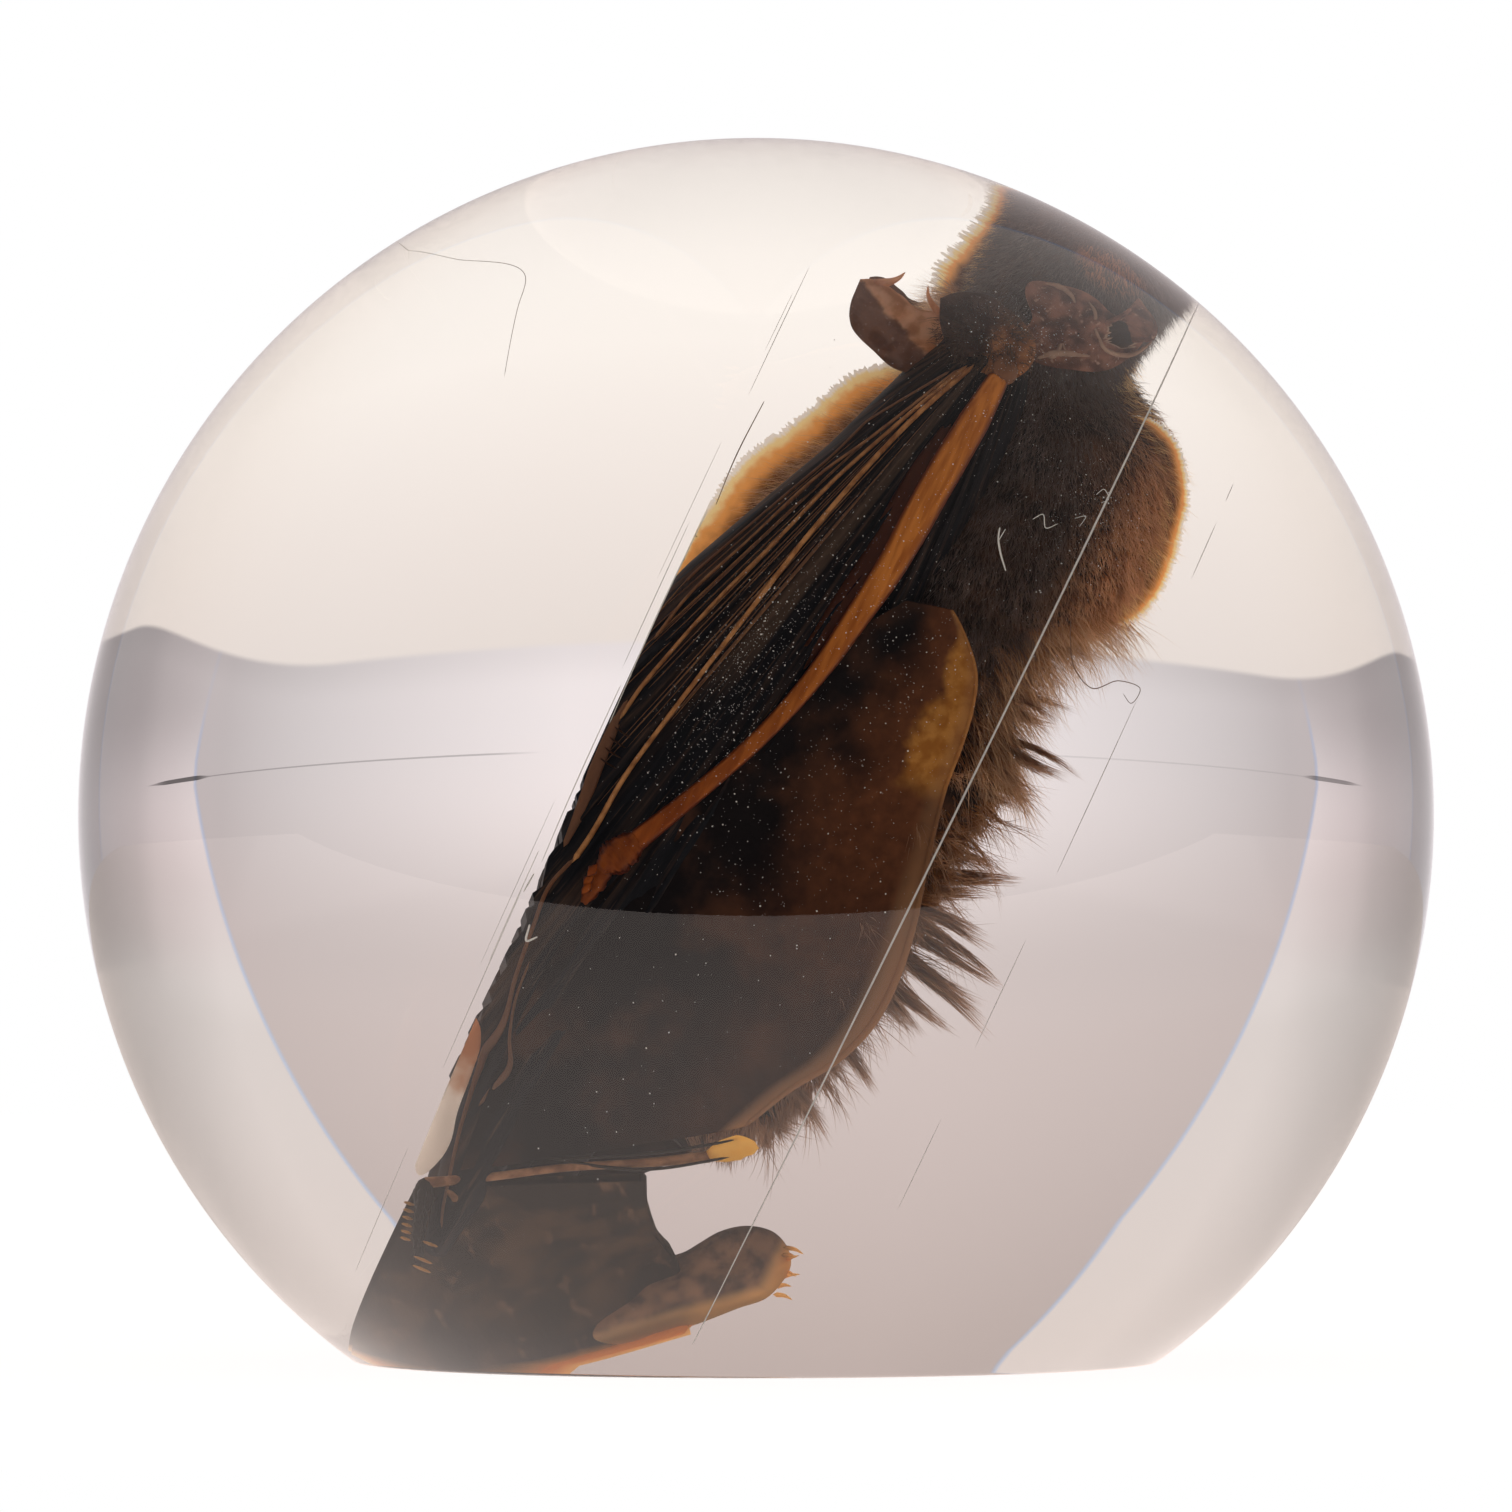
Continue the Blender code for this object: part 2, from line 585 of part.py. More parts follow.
def add_wing(far, collection, frame):
    side = "far" if far else "near"
    turn = mirrored if far else list
    wing = loft("wing", [wing_ring(station, far) for station in WING])
    add_form(f"form_{side}_wing", wing, collection, frame)
    add_form(f"form_{side}_flank", flank_mesh("flank", far), collection, frame)
    arm = turn(on_wing(FOREARM, BONE_SINK))
    forearm = tube("forearm", arm, [FOREARM_RADIUS] * len(FOREARM), LIMB_SIDES)
    add_form(f"form_{side}_forearm", forearm, collection, frame)
    for index, places in enumerate(FINGERS + (WING_TIP,)):
        points = turn(on_wing(places, BONE_SINK))
        finger = tube("finger", points, [FINGER_RADIUS] * len(points), BONE_SIDES)
        add_form(f"form_{side}_finger_{index}", finger, collection, frame)
    low, high = Vector(arm[-1]), Vector(arm[-2])
    reach = (low - high).normalized()
    points = [low + reach * far_off for far_off in ELBOW_REACH]
    knob = tube("elbow", points, ELBOW_RADII, LIMB_SIDES)
    add_form(f"form_{side}_elbow", knob, collection, frame)


def add_legs(collection, frame):
    near = tube("near leg", NEAR_LEG, NEAR_LEG_RADII, LIMB_SIDES)
    far = tube("far leg", FAR_LEG, FAR_LEG_RADII, LIMB_SIDES)
    add_form("form_near_leg", near, collection, frame)
    add_form("form_far_leg", far, collection, frame)
    add_form("form_tail_skin", tail_skin_mesh("tail skin"), collection, frame)
    add_foot("near_foot", NEAR_FOOT, NEAR_FOOT_REACH, NEAR_FOOT_SPREAD, collection, frame)
    add_far_foot(collection, frame)


def make_bat(collection, forms, cutters, material, frame):
    mesh = loft("bat", [body_ring(station) for station in BODY])
    mesh.materials.append(material)
    bat = add_object("bat", mesh, collection, frame)
    add_wing(False, forms, frame)
    add_wing(True, forms, frame)
    add_ear("form_near_ear", False, forms, frame)
    add_ear("form_far_ear", True, forms, frame)
    add_thumbs(forms, frame)
    add_legs(forms, frame)
    add_locks(forms, frame)
    add_boolean(bat, "fuse", "UNION", forms)
    belly = seam_block("cut_belly", BELLY_GAP, False, cutters, frame)
    add_boolean(bat, "lie_on_seam", "DIFFERENCE", belly)
    return bat


def pocket_form(bat, collection, frame):
    """The room round the bat: the hull of its points, each let out by the clearance."""
    graph = bpy.context.evaluated_depsgraph_get()
    whole = bpy.data.meshes.new_from_object(bat.evaluated_get(graph))
    bm = bmesh.new()
    reach = POCKET_CLEARANCE * MM
    for vertex in whole.vertices:
        for axis in range(3):
            for sign in (-1.0, 1.0):
                place = vertex.co.copy()
                place[axis] += sign * reach
                bm.verts.new(place)
    bpy.data.meshes.remove(whole)
    hull = bmesh.ops.convex_hull(bm, input=bm.verts)
    spare = hull["geom_interior"] + hull["geom_unused"]
    inner = {item for item in spare if isinstance(item, bmesh.types.BMVert)}
    bmesh.ops.delete(bm, geom=list(inner), context="VERTS")
    return add_form("cut_pocket", mesh_from("pocket", bm), collection, frame)


def main():
    clear_scene()
    model = new_collection("bat_in_resin_sphere")
    cutters = new_collection("cutters")
    forms = new_collection("bat_forms")
    resin = new_material("resin", (0.93, 0.9, 0.86), 0.05, transmission=1.0)
    fur = new_material("bat", (0.05, 0.03, 0.02), 0.6)
    frame = bpy.data.objects.new("bat_frame", None)
    model.objects.link(frame)
    frame.location = (0.0, 0.0, CENTRE_HEIGHT)
    frame.rotation_euler = (0.0, BAT_TILT, 0.0)
    first = make_ball("resin_first_pour", model, resin)
    second = make_ball("resin_second_pour", model, resin)
    back_side = seam_block("cut_back_side", -HALF_GAP, True, cutters, frame)
    belly_side = seam_block("cut_belly_side", HALF_GAP, False, cutters, frame)
    add_boolean(first, "part", "DIFFERENCE", back_side)
    add_boolean(second, "part", "DIFFERENCE", belly_side)
    bat = make_bat(model, forms, cutters, fur, frame)
    bpy.context.view_layer.update()
    pocket = pocket_form(bat, cutters, frame)
    add_boolean(second, "pocket", "DIFFERENCE", pocket)


main()
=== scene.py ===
"""The looks of a small dried bat cast in a clear resin ball: ball, seams, bat, floor and light.

Lengths are in millimetres unless a name says metres; meshes are made in metres. The bat is built in its
own frame, as its solid is: x towards its back, y away from the viewer, z towards its head, from the
ball's centre. What is made for its near side is mirrored for its far side.
"""

import math

import bpy
import numpy as np
from mathutils import Matrix


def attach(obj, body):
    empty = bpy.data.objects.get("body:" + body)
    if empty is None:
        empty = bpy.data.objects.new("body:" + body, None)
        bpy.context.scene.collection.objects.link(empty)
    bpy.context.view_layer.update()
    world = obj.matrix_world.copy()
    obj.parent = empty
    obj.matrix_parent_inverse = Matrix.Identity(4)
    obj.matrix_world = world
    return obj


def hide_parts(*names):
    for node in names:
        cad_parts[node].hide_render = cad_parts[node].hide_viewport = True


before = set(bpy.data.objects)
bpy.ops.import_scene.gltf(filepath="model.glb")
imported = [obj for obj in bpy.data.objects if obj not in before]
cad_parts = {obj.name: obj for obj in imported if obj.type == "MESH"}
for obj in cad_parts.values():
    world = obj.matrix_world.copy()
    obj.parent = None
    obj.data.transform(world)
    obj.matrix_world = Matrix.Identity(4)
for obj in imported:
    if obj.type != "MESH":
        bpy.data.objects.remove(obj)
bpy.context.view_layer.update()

MM = 0.001
DEGREES = 180.0 / math.pi
SIDEWAYS = np.array((0.0, 1.0, 0.0))
RNG = np.random.default_rng(7)

# Ball, as in the solids
BALL_RADIUS = 45.0
CENTRE_HEIGHT = 36.3
RIM_FILLET = 1.0
BALL_STEPS = 192
ARC_STEPS = 120
FILLET_STEPS = 8

# Camera, at the photograph's height and distance, in metres
CAMERA_DISTANCE = 0.750
CAMERA_HEIGHT = 0.0302
CAMERA_PITCH = math.radians(0.769)
CAMERA_LENS = 268.57

BAT_TILT = math.radians(24.5)
BAT_FRAME = Matrix.Translation((0.0, 0.0, CENTRE_HEIGHT * MM)) @ Matrix.Rotation(BAT_TILT, 4, "Y")

# Table of the photograph's set, in metres
FLOOR_FRONT = -0.142
FLOOR_BACK = 0.9
FLOOR_HALF_WIDTH = 0.9
FLOOR_LEVEL = -0.0001

# Plane that the bat lies on, and the middle between its two sides
SEAM_X = -7.7
SEAM_LEAN = 0.071
MID_SIDE = 0.7

# Body from rump to nose: height, back-belly middle, side middle, half depth, half width
BODY = np.array((
    (-14.6, 3.2, 0.7, 2.2, 3.0),
    (-12.6, 2.2, 0.7, 5.4, 5.8),
    (-9.0, 1.2, 0.7, 7.6, 7.4),
    (-4.0, 1.2, 0.7, 8.5, 8.0),
    (2.0, 1.3, 0.7, 8.6, 8.2),
    (8.0, 1.9, 0.7, 9.3, 8.4),
    (13.5, 2.5, 0.7, 9.4, 8.4),
    (16.3, 3.3, 0.7, 9.0, 8.2),
    (20.3, 4.1, 0.7, 7.8, 7.6),
    (22.4, 4.2, 0.8, 7.2, 7.2),
    (23.6, 3.9, 0.9, 6.5, 6.9),
    (24.6, 2.9, 1.1, 5.1, 6.6),
    (27.0, 3.0, 1.8, 4.8, 6.2),
    (29.5, 3.4, 2.8, 5.1, 6.4),
    (32.0, 3.9, 3.6, 5.5, 6.4),
    (34.0, 4.1, 4.1, 5.8, 5.7),
    (35.6, 4.0, 4.4, 5.8, 4.6),
    (37.2, 3.4, 4.7, 4.6, 3.2),
    (38.4, 2.2, 4.8, 2.0, 1.9),
))
BODY_BOTTOM = -14.9
BODY_TOP = 38.6
# Depth of the skin below that outline, which is the fur's: more on chest and loins, less on head and hump
SKIN_DEPTH = 1.5
CHEST_HOLLOW = 1.6
LOIN_HOLLOW = 2.1
SHORT_FUR = 0.6

# Folded wing on the near side: height, belly edge, back edge, outer side, inner side
WING = np.array((
    (-26.5, -6.0, -5.0, -6.0, -3.2),
    (-20.0, -7.1, -3.8, -7.4, -1.5),
    (-17.0, -7.4, -3.2, -7.7, -1.0),
    (-15.6, -7.4, -2.9, -7.9, -0.7),
    (-14.6, -9.2, -2.7, -8.0, -0.5),
    (-8.0, -9.4, -1.5, -8.7, 0.0),
    (-3.0, -9.6, -0.4, -9.5, 0.0),
    (3.0, -9.6, 1.7, -9.9, 0.0),
    (9.0, -7.9, 2.5, -9.9, 0.0),
    (11.7, -6.7, 2.9, -9.8, -0.5),
    (14.4, -5.5, 3.2, -9.7, -1.0),
    (17.3, -4.2, 3.5, -9.6, -1.6),
    (20.6, -3.1, 3.7, -9.4, -2.4),
    (24.0, -2.0, 3.7, -9.1, -3.5),
    (27.2, -0.6, 2.8, -8.7, -5.5),
))
WING_BOTTOM = -26.5
WING_TOP = 27.2
# Middle of the fan by which the wing's pleats and bones spread
FAN_X = 2.5
FAN_Z = 32.0

# Bones on the near wing's face, from the wrist down: place from belly to back, height
FOREARM = ((2.05, 25.6), (1.8, 22.7), (1.52, 20.1), (1.29, 17.7), (1.11, 15.3), (0.87, 13.0), (0.46, 10.6),
           (0.07, 8.3), (-0.56, 5.8), (-1.42, 3.3), (-2.62, 0.6), (-3.96, -2.1), (-5.04, -4.2))
FOREARM_RADII = (0.55, 0.8, 0.86, 0.84, 0.74, 0.62, 0.5, 0.44, 0.42, 0.46, 0.56)
MUSCLE_RADII = (0.3, 0.62, 0.7, 0.72, 0.66, 0.5, 0.1)
FINGERS = (
    ((0.6, 25.4), (-1.12, 21.0), (-2.38, 16.9), (-3.41, 13.1), (-4.25, 9.4), (-5.05, 5.9), (-5.86, 2.3),
     (-6.55, -1.2), (-6.86, -4.5), (-7.1, -5.8)),
    ((0.3, 25.2), (-1.9, 19.9), (-3.3, 16.4), (-4.6, 12.5), (-6.01, 8.64), (-7.1, 5.0), (-7.6, 3.1),
     (-7.85, 1.4)),
    ((0.0, 24.8), (-2.6, 19.1), (-4.11, 16.1), (-5.74, 12.0), (-7.33, 8.05), (-7.9, 5.6)),
    ((-0.4, 24.4), (-2.9, 20.0), (-5.13, 15.6), (-6.85, 11.5), (-7.9, 8.6)),
)
FINGER_RADII = (0.14, 0.11, 0.085, 0.07)
WING_TIP = ((-7.1, -5.6), (-7.6, -7.2), (-7.52, -9.3), (-7.3, -12.0), (-6.96, -14.6), (-7.1, -15.6),
            (-7.32, -17.9), (-7.05, -20.4), (-6.58, -22.5), (-5.73, -25.3))
WING_TIP_RADII = (0.1, 0.1, 0.1, 0.11, 0.24, 0.12, 0.1, 0.09, 0.07)
SECOND_TIP = ((-7.0, -11.0), (-6.87, -13.0), (-6.4, -14.8), (-5.8, -16.2), (-6.15, -17.5), (-6.4, -18.5))
# Tones: the first mark of a limb's points, by which its material tells its parts; plain bone is 0
MUSCLE_TONE = 1.0
WRIST_TONE = 1.6
TIP_TONE = 0.85
KNUCKLE_TONE = 0.9
KNEE_TONE = 1.0
TOE_TONE = 1.8
DARK_TONE = 2.0
RIDGE_TONE = 2.0
HOLE_TONE = 3.0
WRIST_BONE = ((1.6, -8.5, 26.6), (2.1, -8.9, 26.0), (2.4, -8.6, 25.2))
KNUCKLE = ((-7.9, 2.4), (-7.95, 0.6), (-7.9, -1.2), (-7.75, -3.3), (-7.75, -5.2))


def link(made):
    bpy.context.scene.collection.objects.link(made)
    return made


class Shade:
    """Short calls for a node tree: values go in as numbers or as another node's output."""

    def __init__(self, owner):
        owner.use_nodes = True
        self.owner = owner
        self.tree = owner.node_tree
        self.tree.nodes.clear()

    def node(self, kind, inputs=None, **settings):
        made = self.tree.nodes.new(kind)
        for name, value in settings.items():
            setattr(made, name, value)
        for name, value in (inputs or {}).items():
            self.put(made.inputs[name], value)
        return made

    def put(self, socket, value):
        if isinstance(value, bpy.types.NodeSocket):
            self.tree.links.new(value, socket)
        elif isinstance(value, tuple) and len(value) == 3 and socket.type == "RGBA":
            socket.default_value = (*value, 1.0)
        else:
            socket.default_value = value

    def math(self, operation, first, second=0.0):
        return self.node("ShaderNodeMath", {0: first, 1: second}, operation=operation).outputs[0]

    def times(self, first, second):
        return self.math("MULTIPLY", first, second)

    def plus(self, first, second):
        return self.math("ADD", first, second)

    def minus(self, first, second):
        return self.math("SUBTRACT", first, second)

    def space(self, operation, first, inputs, output=0):
        return self.node("ShaderNodeVectorMath", {0: first, **inputs}, operation=operation).outputs[output]

    def span(self, value, start, end, low=0.0, high=1.0, kind="SMOOTHSTEP"):
        """Low before start, high after end, and a soft step between them."""
        places = {"Value": value, "From Min": start, "From Max": end, "To Min": low, "To Max": high}
        return self.node("ShaderNodeMapRange", places, interpolation_type=kind).outputs[0]

    def blend(self, share, first, second, kind="MIX"):
        mix = self.node("ShaderNodeMix", data_type="RGBA", blend_type=kind)
        self.put(mix.inputs[0], share)
        self.put(mix.inputs[6], first)
        self.put(mix.inputs[7], second)
        return mix.outputs[2]

    def fade(self, value, start, end, first, second):
        """The first colour before start, the second after end."""
        return self.blend(self.span(value, start, end), first, second)

    def tint(self, colour, by):
        return self.blend(1.0, colour, by, "MULTIPLY")

    def dim(self, colour, level):
        return self.tint(colour, self.vector(level, level, level))

    def between(self, share, first, second):
        return self.node("ShaderNodeMix", {0: share, 2: first, 3: second}, data_type="FLOAT").outputs[0]

    def noise(self, place, scale, detail=3.0, roughness=0.5):
        places = {"Vector": place, "Scale": scale, "Detail": detail, "Roughness": roughness}
        return self.node("ShaderNodeTexNoise", places).outputs["Fac"]

    def place(self):
        """Position on the piece, in millimetres of its own frame."""
        return self.space("SCALE", self.node("ShaderNodeTexCoord").outputs["Object"], {"Scale": 1.0 / MM})

    def parts(self, vector):
        return self.node("ShaderNodeSeparateXYZ", {0: vector}).outputs

    def marks(self):
        """The two marks that a piece's mesh carries at each point."""
        return self.parts(self.node("ShaderNodeUVMap", uv_map="marks").outputs[0])

    def vector(self, x, y, z):
        return self.node("ShaderNodeCombineXYZ", {0: x, 1: y, 2: z}).outputs[0]

    def surface(self, colour, roughness, bump=None, height=0.05, glow=None, share=0.0, gloss=0.03):
        """Finishes a material: a skin with relief in mm, and light that comes through where it is thin."""
        inputs = {"Base Color": colour, "Roughness": roughness, "Specular IOR Level": gloss}
        relief = None
        if bump is not None:
            relief = self.node("ShaderNodeBump", {"Height": bump, "Distance": height * MM}).outputs[0]
            inputs["Normal"] = relief
        shader = self.node("ShaderNodeBsdfPrincipled", inputs).outputs[0]
        if glow is not None:
            through = self.node("ShaderNodeBsdfTranslucent", {"Color": glow})
            if relief is not None:
                self.put(through.inputs["Normal"], relief)
            shader = self.node("ShaderNodeMixShader", {0: share, 1: shader, 2: through.outputs[0]}).outputs[0]
        self.node("ShaderNodeOutputMaterial", {"Surface": shader})
        return self.owner


def new_shade(name):
    return Shade(bpy.data.materials.new(name))


class Form:
    """Gathers the points, faces and marks of one mesh, in millimetres."""

    def __init__(self):
        self.points = []
        self.marks = []
        self.faces = []
        self.count = 0

    def add(self, points, marks, faces):
        self.points.append(np.asarray(points, float))
        self.marks.append(np.asarray(marks, float))
        self.faces.extend([tuple(index + self.count for index in face) for face in faces])
        self.count += len(points)

    def grid(self, points, marks, closed=False):
        """A skin over rows of points; closed joins each row's end to its start."""
        rows, columns = points.shape[:2]
        last = columns if closed else columns - 1
        faces = []
        for row in range(rows - 1):
            for column in range(last):
                after = (column + 1) % columns
                low, high = row * columns, (row + 1) * columns
                faces.append((low + column, low + after, high + after, high + column))
        self.add(points.reshape(-1, 3), marks.reshape(-1, 2), faces)

    def tube(self, line, radii, sides=8, count=24, flat=1.0, rough=0.0, tone=0.0):
        """A round or flattened limb along a smooth line, closed to a point at both ends."""
        path, share = smooth_line(line, count)
        size = np.interp(share, np.linspace(0.0, 1.0, len(radii)), radii)
        along = np.gradient(path, axis=0)
        along /= np.linalg.norm(along, axis=1)[:, None]
        thin = SIDEWAYS - along * (along @ SIDEWAYS)[:, None]
        thin /= np.maximum(np.linalg.norm(thin, axis=1), 0.001)[:, None]
        wide = np.cross(along, thin)
        turn = np.linspace(0.0, 2.0 * math.pi, sides, endpoint=False)
        ring = thin[:, None] * (np.cos(turn) * flat)[None, :, None]
        ring = ring + wide[:, None] * np.sin(turn)[None, :, None]
        reach = size[:, None] * (1.0 + rough * RNG.uniform(-1.0, 1.0, (count, sides)))
        points = path[:, None] + ring * reach[:, :, None]
        points[0] = path[0] - along[0] * size[0] * 0.6
        points[-1] = path[-1] + along[-1] * size[-1] * 0.6
        facing = -np.cos(turn)[None, :] + 0.0 * share[:, None]
        marks = np.stack((np.full(facing.shape, tone), facing), axis=-1)
        self.grid(points, marks, closed=True)

    def pad(self, outline, y, half, rings=10, count=90, lump=0.0, seed=5, middle=None):
        """A domed lobe with a smooth outline given in x and z; half is its half thickness in mm."""
        closed = np.concatenate((outline, outline[:1]))
        edge, _ = smooth_line(np.stack((closed[:, 0], 0.0 * closed[:, 0], closed[:, 1]), -1), count + 1)
        edge = edge[:-1, (0, 2)]
        centre = edge.mean(axis=0) if middle is None else np.asarray(middle, float)
        for face in (-1.0, 1.0):
            share = np.sin(np.linspace(0.0, math.pi / 2.0, rings))[:, None]
            flat = centre + (edge - centre)[None] * share[..., None]
            deep = y + face * half * np.sqrt(np.clip(1.0 - share ** 2, 0.0, 1.0)) + 0.0 * flat[..., 0]
            points = np.stack((flat[..., 0], deep, flat[..., 1]), -1)
            points[..., 1] += lump * lumps(points, 1.6, seed) * (1.0 - share ** 6)
            marks = np.stack((np.zeros(points.shape[:2]), np.broadcast_to(share, points.shape[:2])), -1)
            order = slice(None) if face > 0 else slice(None, None, -1)
            self.grid(points[:, order], marks[:, order], closed=True)

    def mirror(self):
        """Adds the same forms on the bat's other side, as far off the seam as the first."""
        points = np.concatenate(self.points)
        other = points.copy()
        other[:, 0] += SEAM_LEAN * 2.0 * (MID_SIDE - points[:, 1])
        other[:, 1] = 2.0 * MID_SIDE - points[:, 1]
        faces = [tuple(reversed(face)) for face in self.faces]
        self.add(other, np.concatenate(self.marks), faces)

    def piece(self, name, material, slot="bat", smooth=True, at=BAT_FRAME):
        points = np.concatenate(self.points)
        marks = np.concatenate(self.marks)
        if slot == "bat":
            points[:, 0] = np.maximum(points[:, 0], SEAM_X + SEAM_LEAN * points[:, 1])
        mesh = bpy.data.meshes.new(name)
        mesh.from_pydata((points * MM).tolist(), [], self.faces)
        layer = mesh.uv_layers.new(name="marks")
        corners = np.empty(len(mesh.loops), dtype=np.int32)
        mesh.loops.foreach_get("vertex_index", corners)
        layer.data.foreach_set("uv", marks[corners].ravel())
        mesh.materials.append(material)
        if smooth:
            mesh.shade_smooth()
        made = link(bpy.data.objects.new(name, mesh))
        made.matrix_world = at
        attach(made, "root")
        if slot == "bat":
            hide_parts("bat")
        return made


def smooth_line(points, count):
    """Evenly spaced places on a smooth curve through the points, and each one's share of its length."""
    knots = np.asarray(points, float)
    steps = np.linalg.norm(np.diff(knots, axis=0), axis=1)
    reach = np.concatenate(([0.0], np.cumsum(steps)))
    slopes = np.gradient(knots, reach, axis=0)
    wanted = np.linspace(0.0, reach[-1], count)
    low = np.clip(np.searchsorted(reach, wanted, "right") - 1, 0, len(reach) - 2)
    gap = (reach[low + 1] - reach[low])[:, None]
    part = (wanted - reach[low])[:, None] / gap
    start = (1.0 + 2.0 * part) * (1.0 - part) ** 2 * knots[low] + part * (1.0 - part) ** 2 * gap * slopes[low]
    end = part ** 2 * (3.0 - 2.0 * part) * knots[low + 1] + part ** 2 * (part - 1.0) * gap * slopes[low + 1]
    return start + end, wanted / reach[-1]


def station(table, height):
    """Each column of a table of stations at any heights, rounded over the corners between them."""
    height = np.asarray(height, float)
    softened = 0.0
    for shift in (-0.5, 0.0, 0.5):
        columns = [np.interp(height + shift, table[:, 0], column) for column in table.T[1:]]
        softened = softened + np.stack(columns)
    return softened / 3.0


def lumps(points, size, seed):
    """Smooth bumps in space, about -1 to 1: a sum of a few slanted waves."""
    chance = np.random.default_rng(seed)
    total = np.zeros(points.shape[:-1])
    for _ in range(7):
        way = chance.normal(size=3)
        way *= chance.uniform(0.6, 1.6) / (np.linalg.norm(way) * size)
        total += np.sin(points @ way * 2.0 * math.pi + chance.uniform(0.0, 6.3))
    return total / 3.5


def body_surface(height, angle, sink=0.0):
    """Points on the body and the way out of it, by height and by angle off the back."""
    back, side, depth, width = station(BODY, height)
    depth, width = np.maximum(depth - sink, 0.3), np.maximum(width - sink, 0.3)
    points = np.stack((back + depth * np.cos(angle), side + width * np.sin(angle), height + 0.0 * angle), -1)
    slope = (station(BODY, height + 0.5)[2] - station(BODY, height - 0.5)[2])
    out = np.stack((np.cos(angle) * width, np.sin(angle) * depth, -slope * depth + 0.0 * angle), -1)
    return points, out / np.linalg.norm(out, axis=-1)[..., None]


def skin_sink(height, angle):
    """How far the skin lies below the body's outline."""
    belly = np.clip(-np.cos(angle) * 1.4, 0.0, 1.0)
    back = np.clip(np.cos(angle) * 1.6 - 0.3, 0.0, 1.0)
    chest = belly * np.clip((height - 6.0) / 5.0, 0.0, 1.0) * np.clip((25.0 - height) / 4.0, 0.0, 1.0)
    loin = back * np.exp(-((height - 10.3) / 3.4) ** 4)
    hump = back * np.exp(-((height - 19.8) / 4.0) ** 4)
    head = np.clip((height - 25.5) / 2.0, 0.0, 1.0)
    return SKIN_DEPTH + CHEST_HOLLOW * chest + LOIN_HOLLOW * loin - SHORT_FUR * np.maximum(hump, head)


def fan_angle(x, z):
    """Degrees round the wrist, by which the folded wing's pleats and bones run."""
    return np.degrees(np.arctan2(x - FAN_X, FAN_Z - z))


def pleats(x, z):
    """Relief of the folded membranes, in mm: sharp folds that run out from the wrist."""
    angle = fan_angle(x, z)
    waver = 0.5 * np.sin(z * 0.31) + 0.3 * np.sin(z * 0.9 + angle)
    fold = 1.0 - 2.0 * np.abs(np.sin((angle * 1.55 + waver)))
    fine = np.sin(angle * 7.0 + 1.3 * np.sin(z * 0.5))
    reach = np.clip((FAN_Z - z) / 16.0, 0.25, 1.0)
    return reach * (0.22 * fold + 0.05 * fine)


def wing_face(x, z):
    """The near wing's outer face: its depth at a place from belly to back and a height."""
    belly, back, outer, inner = station(WING, z)
    off = np.clip((x - (belly + back) / 2.0) / ((back - belly) / 2.0), -1.0, 1.0)
    return (outer + inner) / 2.0 - np.sqrt(1.0 - off ** 2) * (inner - outer) / 2.0


def on_wing(places, lift=0.0, count=30):
    """A smooth line over the near wing's face through places given as x and z."""
    flat, _ = smooth_line(np.array([(x, 0.0, z) for x, z in places]), count)
    belly, back, _, _ = station(WING, flat[:, 2])
    x = np.clip(flat[:, 0], belly + 0.35, back - 0.35)
    return np.stack((x, wing_face(x, flat[:, 2]) - lift, flat[:, 2]), -1)


def resin_material():
    """Clear cast resin: a trace of warm tint over its depth and faint polishing marks."""
    shade = new_shade("clear_resin")
    marks = shade.noise(shade.place(), 0.9, 2.0)
    shader = shade.node("ShaderNodeBsdfPrincipled", {
        "Base Color": (1.0, 1.0, 1.0), "Transmission Weight": 1.0, "IOR": 1.5,
        "Roughness": shade.span(marks, 0.35, 0.8, 0.0, 0.003)})
    depth = shade.node("ShaderNodeVolumeAbsorption", {"Color": (0.972, 0.858, 0.74), "Density": 4.0})
    shade.node("ShaderNodeOutputMaterial", {"Surface": shader.outputs[0], "Volume": depth.outputs[0]})
    return shade.owner


def ball_profile():
    fillet_x = math.sqrt((BALL_RADIUS - RIM_FILLET) ** 2 - (CENTRE_HEIGHT - RIM_FILLET) ** 2)
    tangent = math.atan2(RIM_FILLET - CENTRE_HEIGHT, fillet_x)
    points = [(0.0, CENTRE_HEIGHT + BALL_RADIUS)]
    for index in range(1, ARC_STEPS + 1):
        angle = math.pi / 2 + (tangent - math.pi / 2) * index / ARC_STEPS
        points.append((BALL_RADIUS * math.cos(angle), CENTRE_HEIGHT + BALL_RADIUS * math.sin(angle)))
    for index in range(1, FILLET_STEPS + 1):
        angle = tangent + (-math.pi / 2 - tangent) * index / FILLET_STEPS
        points.append((fillet_x + RIM_FILLET * math.cos(angle), RIM_FILLET + RIM_FILLET * math.sin(angle)))
    points[-1] = (points[-1][0], 0.0)
    points.append((points[-1][0] - 0.5, 0.0))
    points.append((0.0, 0.0))
    return points


def make_resin():
    """The whole ball as one clear piece, in place of its two halves."""
    points = ball_profile()
    mesh = bpy.data.meshes.new("resin_ball")
    edges = [(index, index + 1) for index in range(len(points) - 1)]
    mesh.from_pydata([(x * MM, 0.0, z * MM) for x, z in points], edges, [])
    mesh.materials.append(resin_material())
    ball = link(bpy.data.objects.new("resin_ball", mesh))
    screw = ball.modifiers.new("turn", "SCREW")
    screw.steps = BALL_STEPS
    screw.render_steps = BALL_STEPS
    screw.use_merge_vertices = True
    screw.merge_threshold = 0.000001
    screw.use_smooth_shade = True
    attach(ball, "root")
    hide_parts("resin_first_pour", "resin_second_pour")


# Body and fur


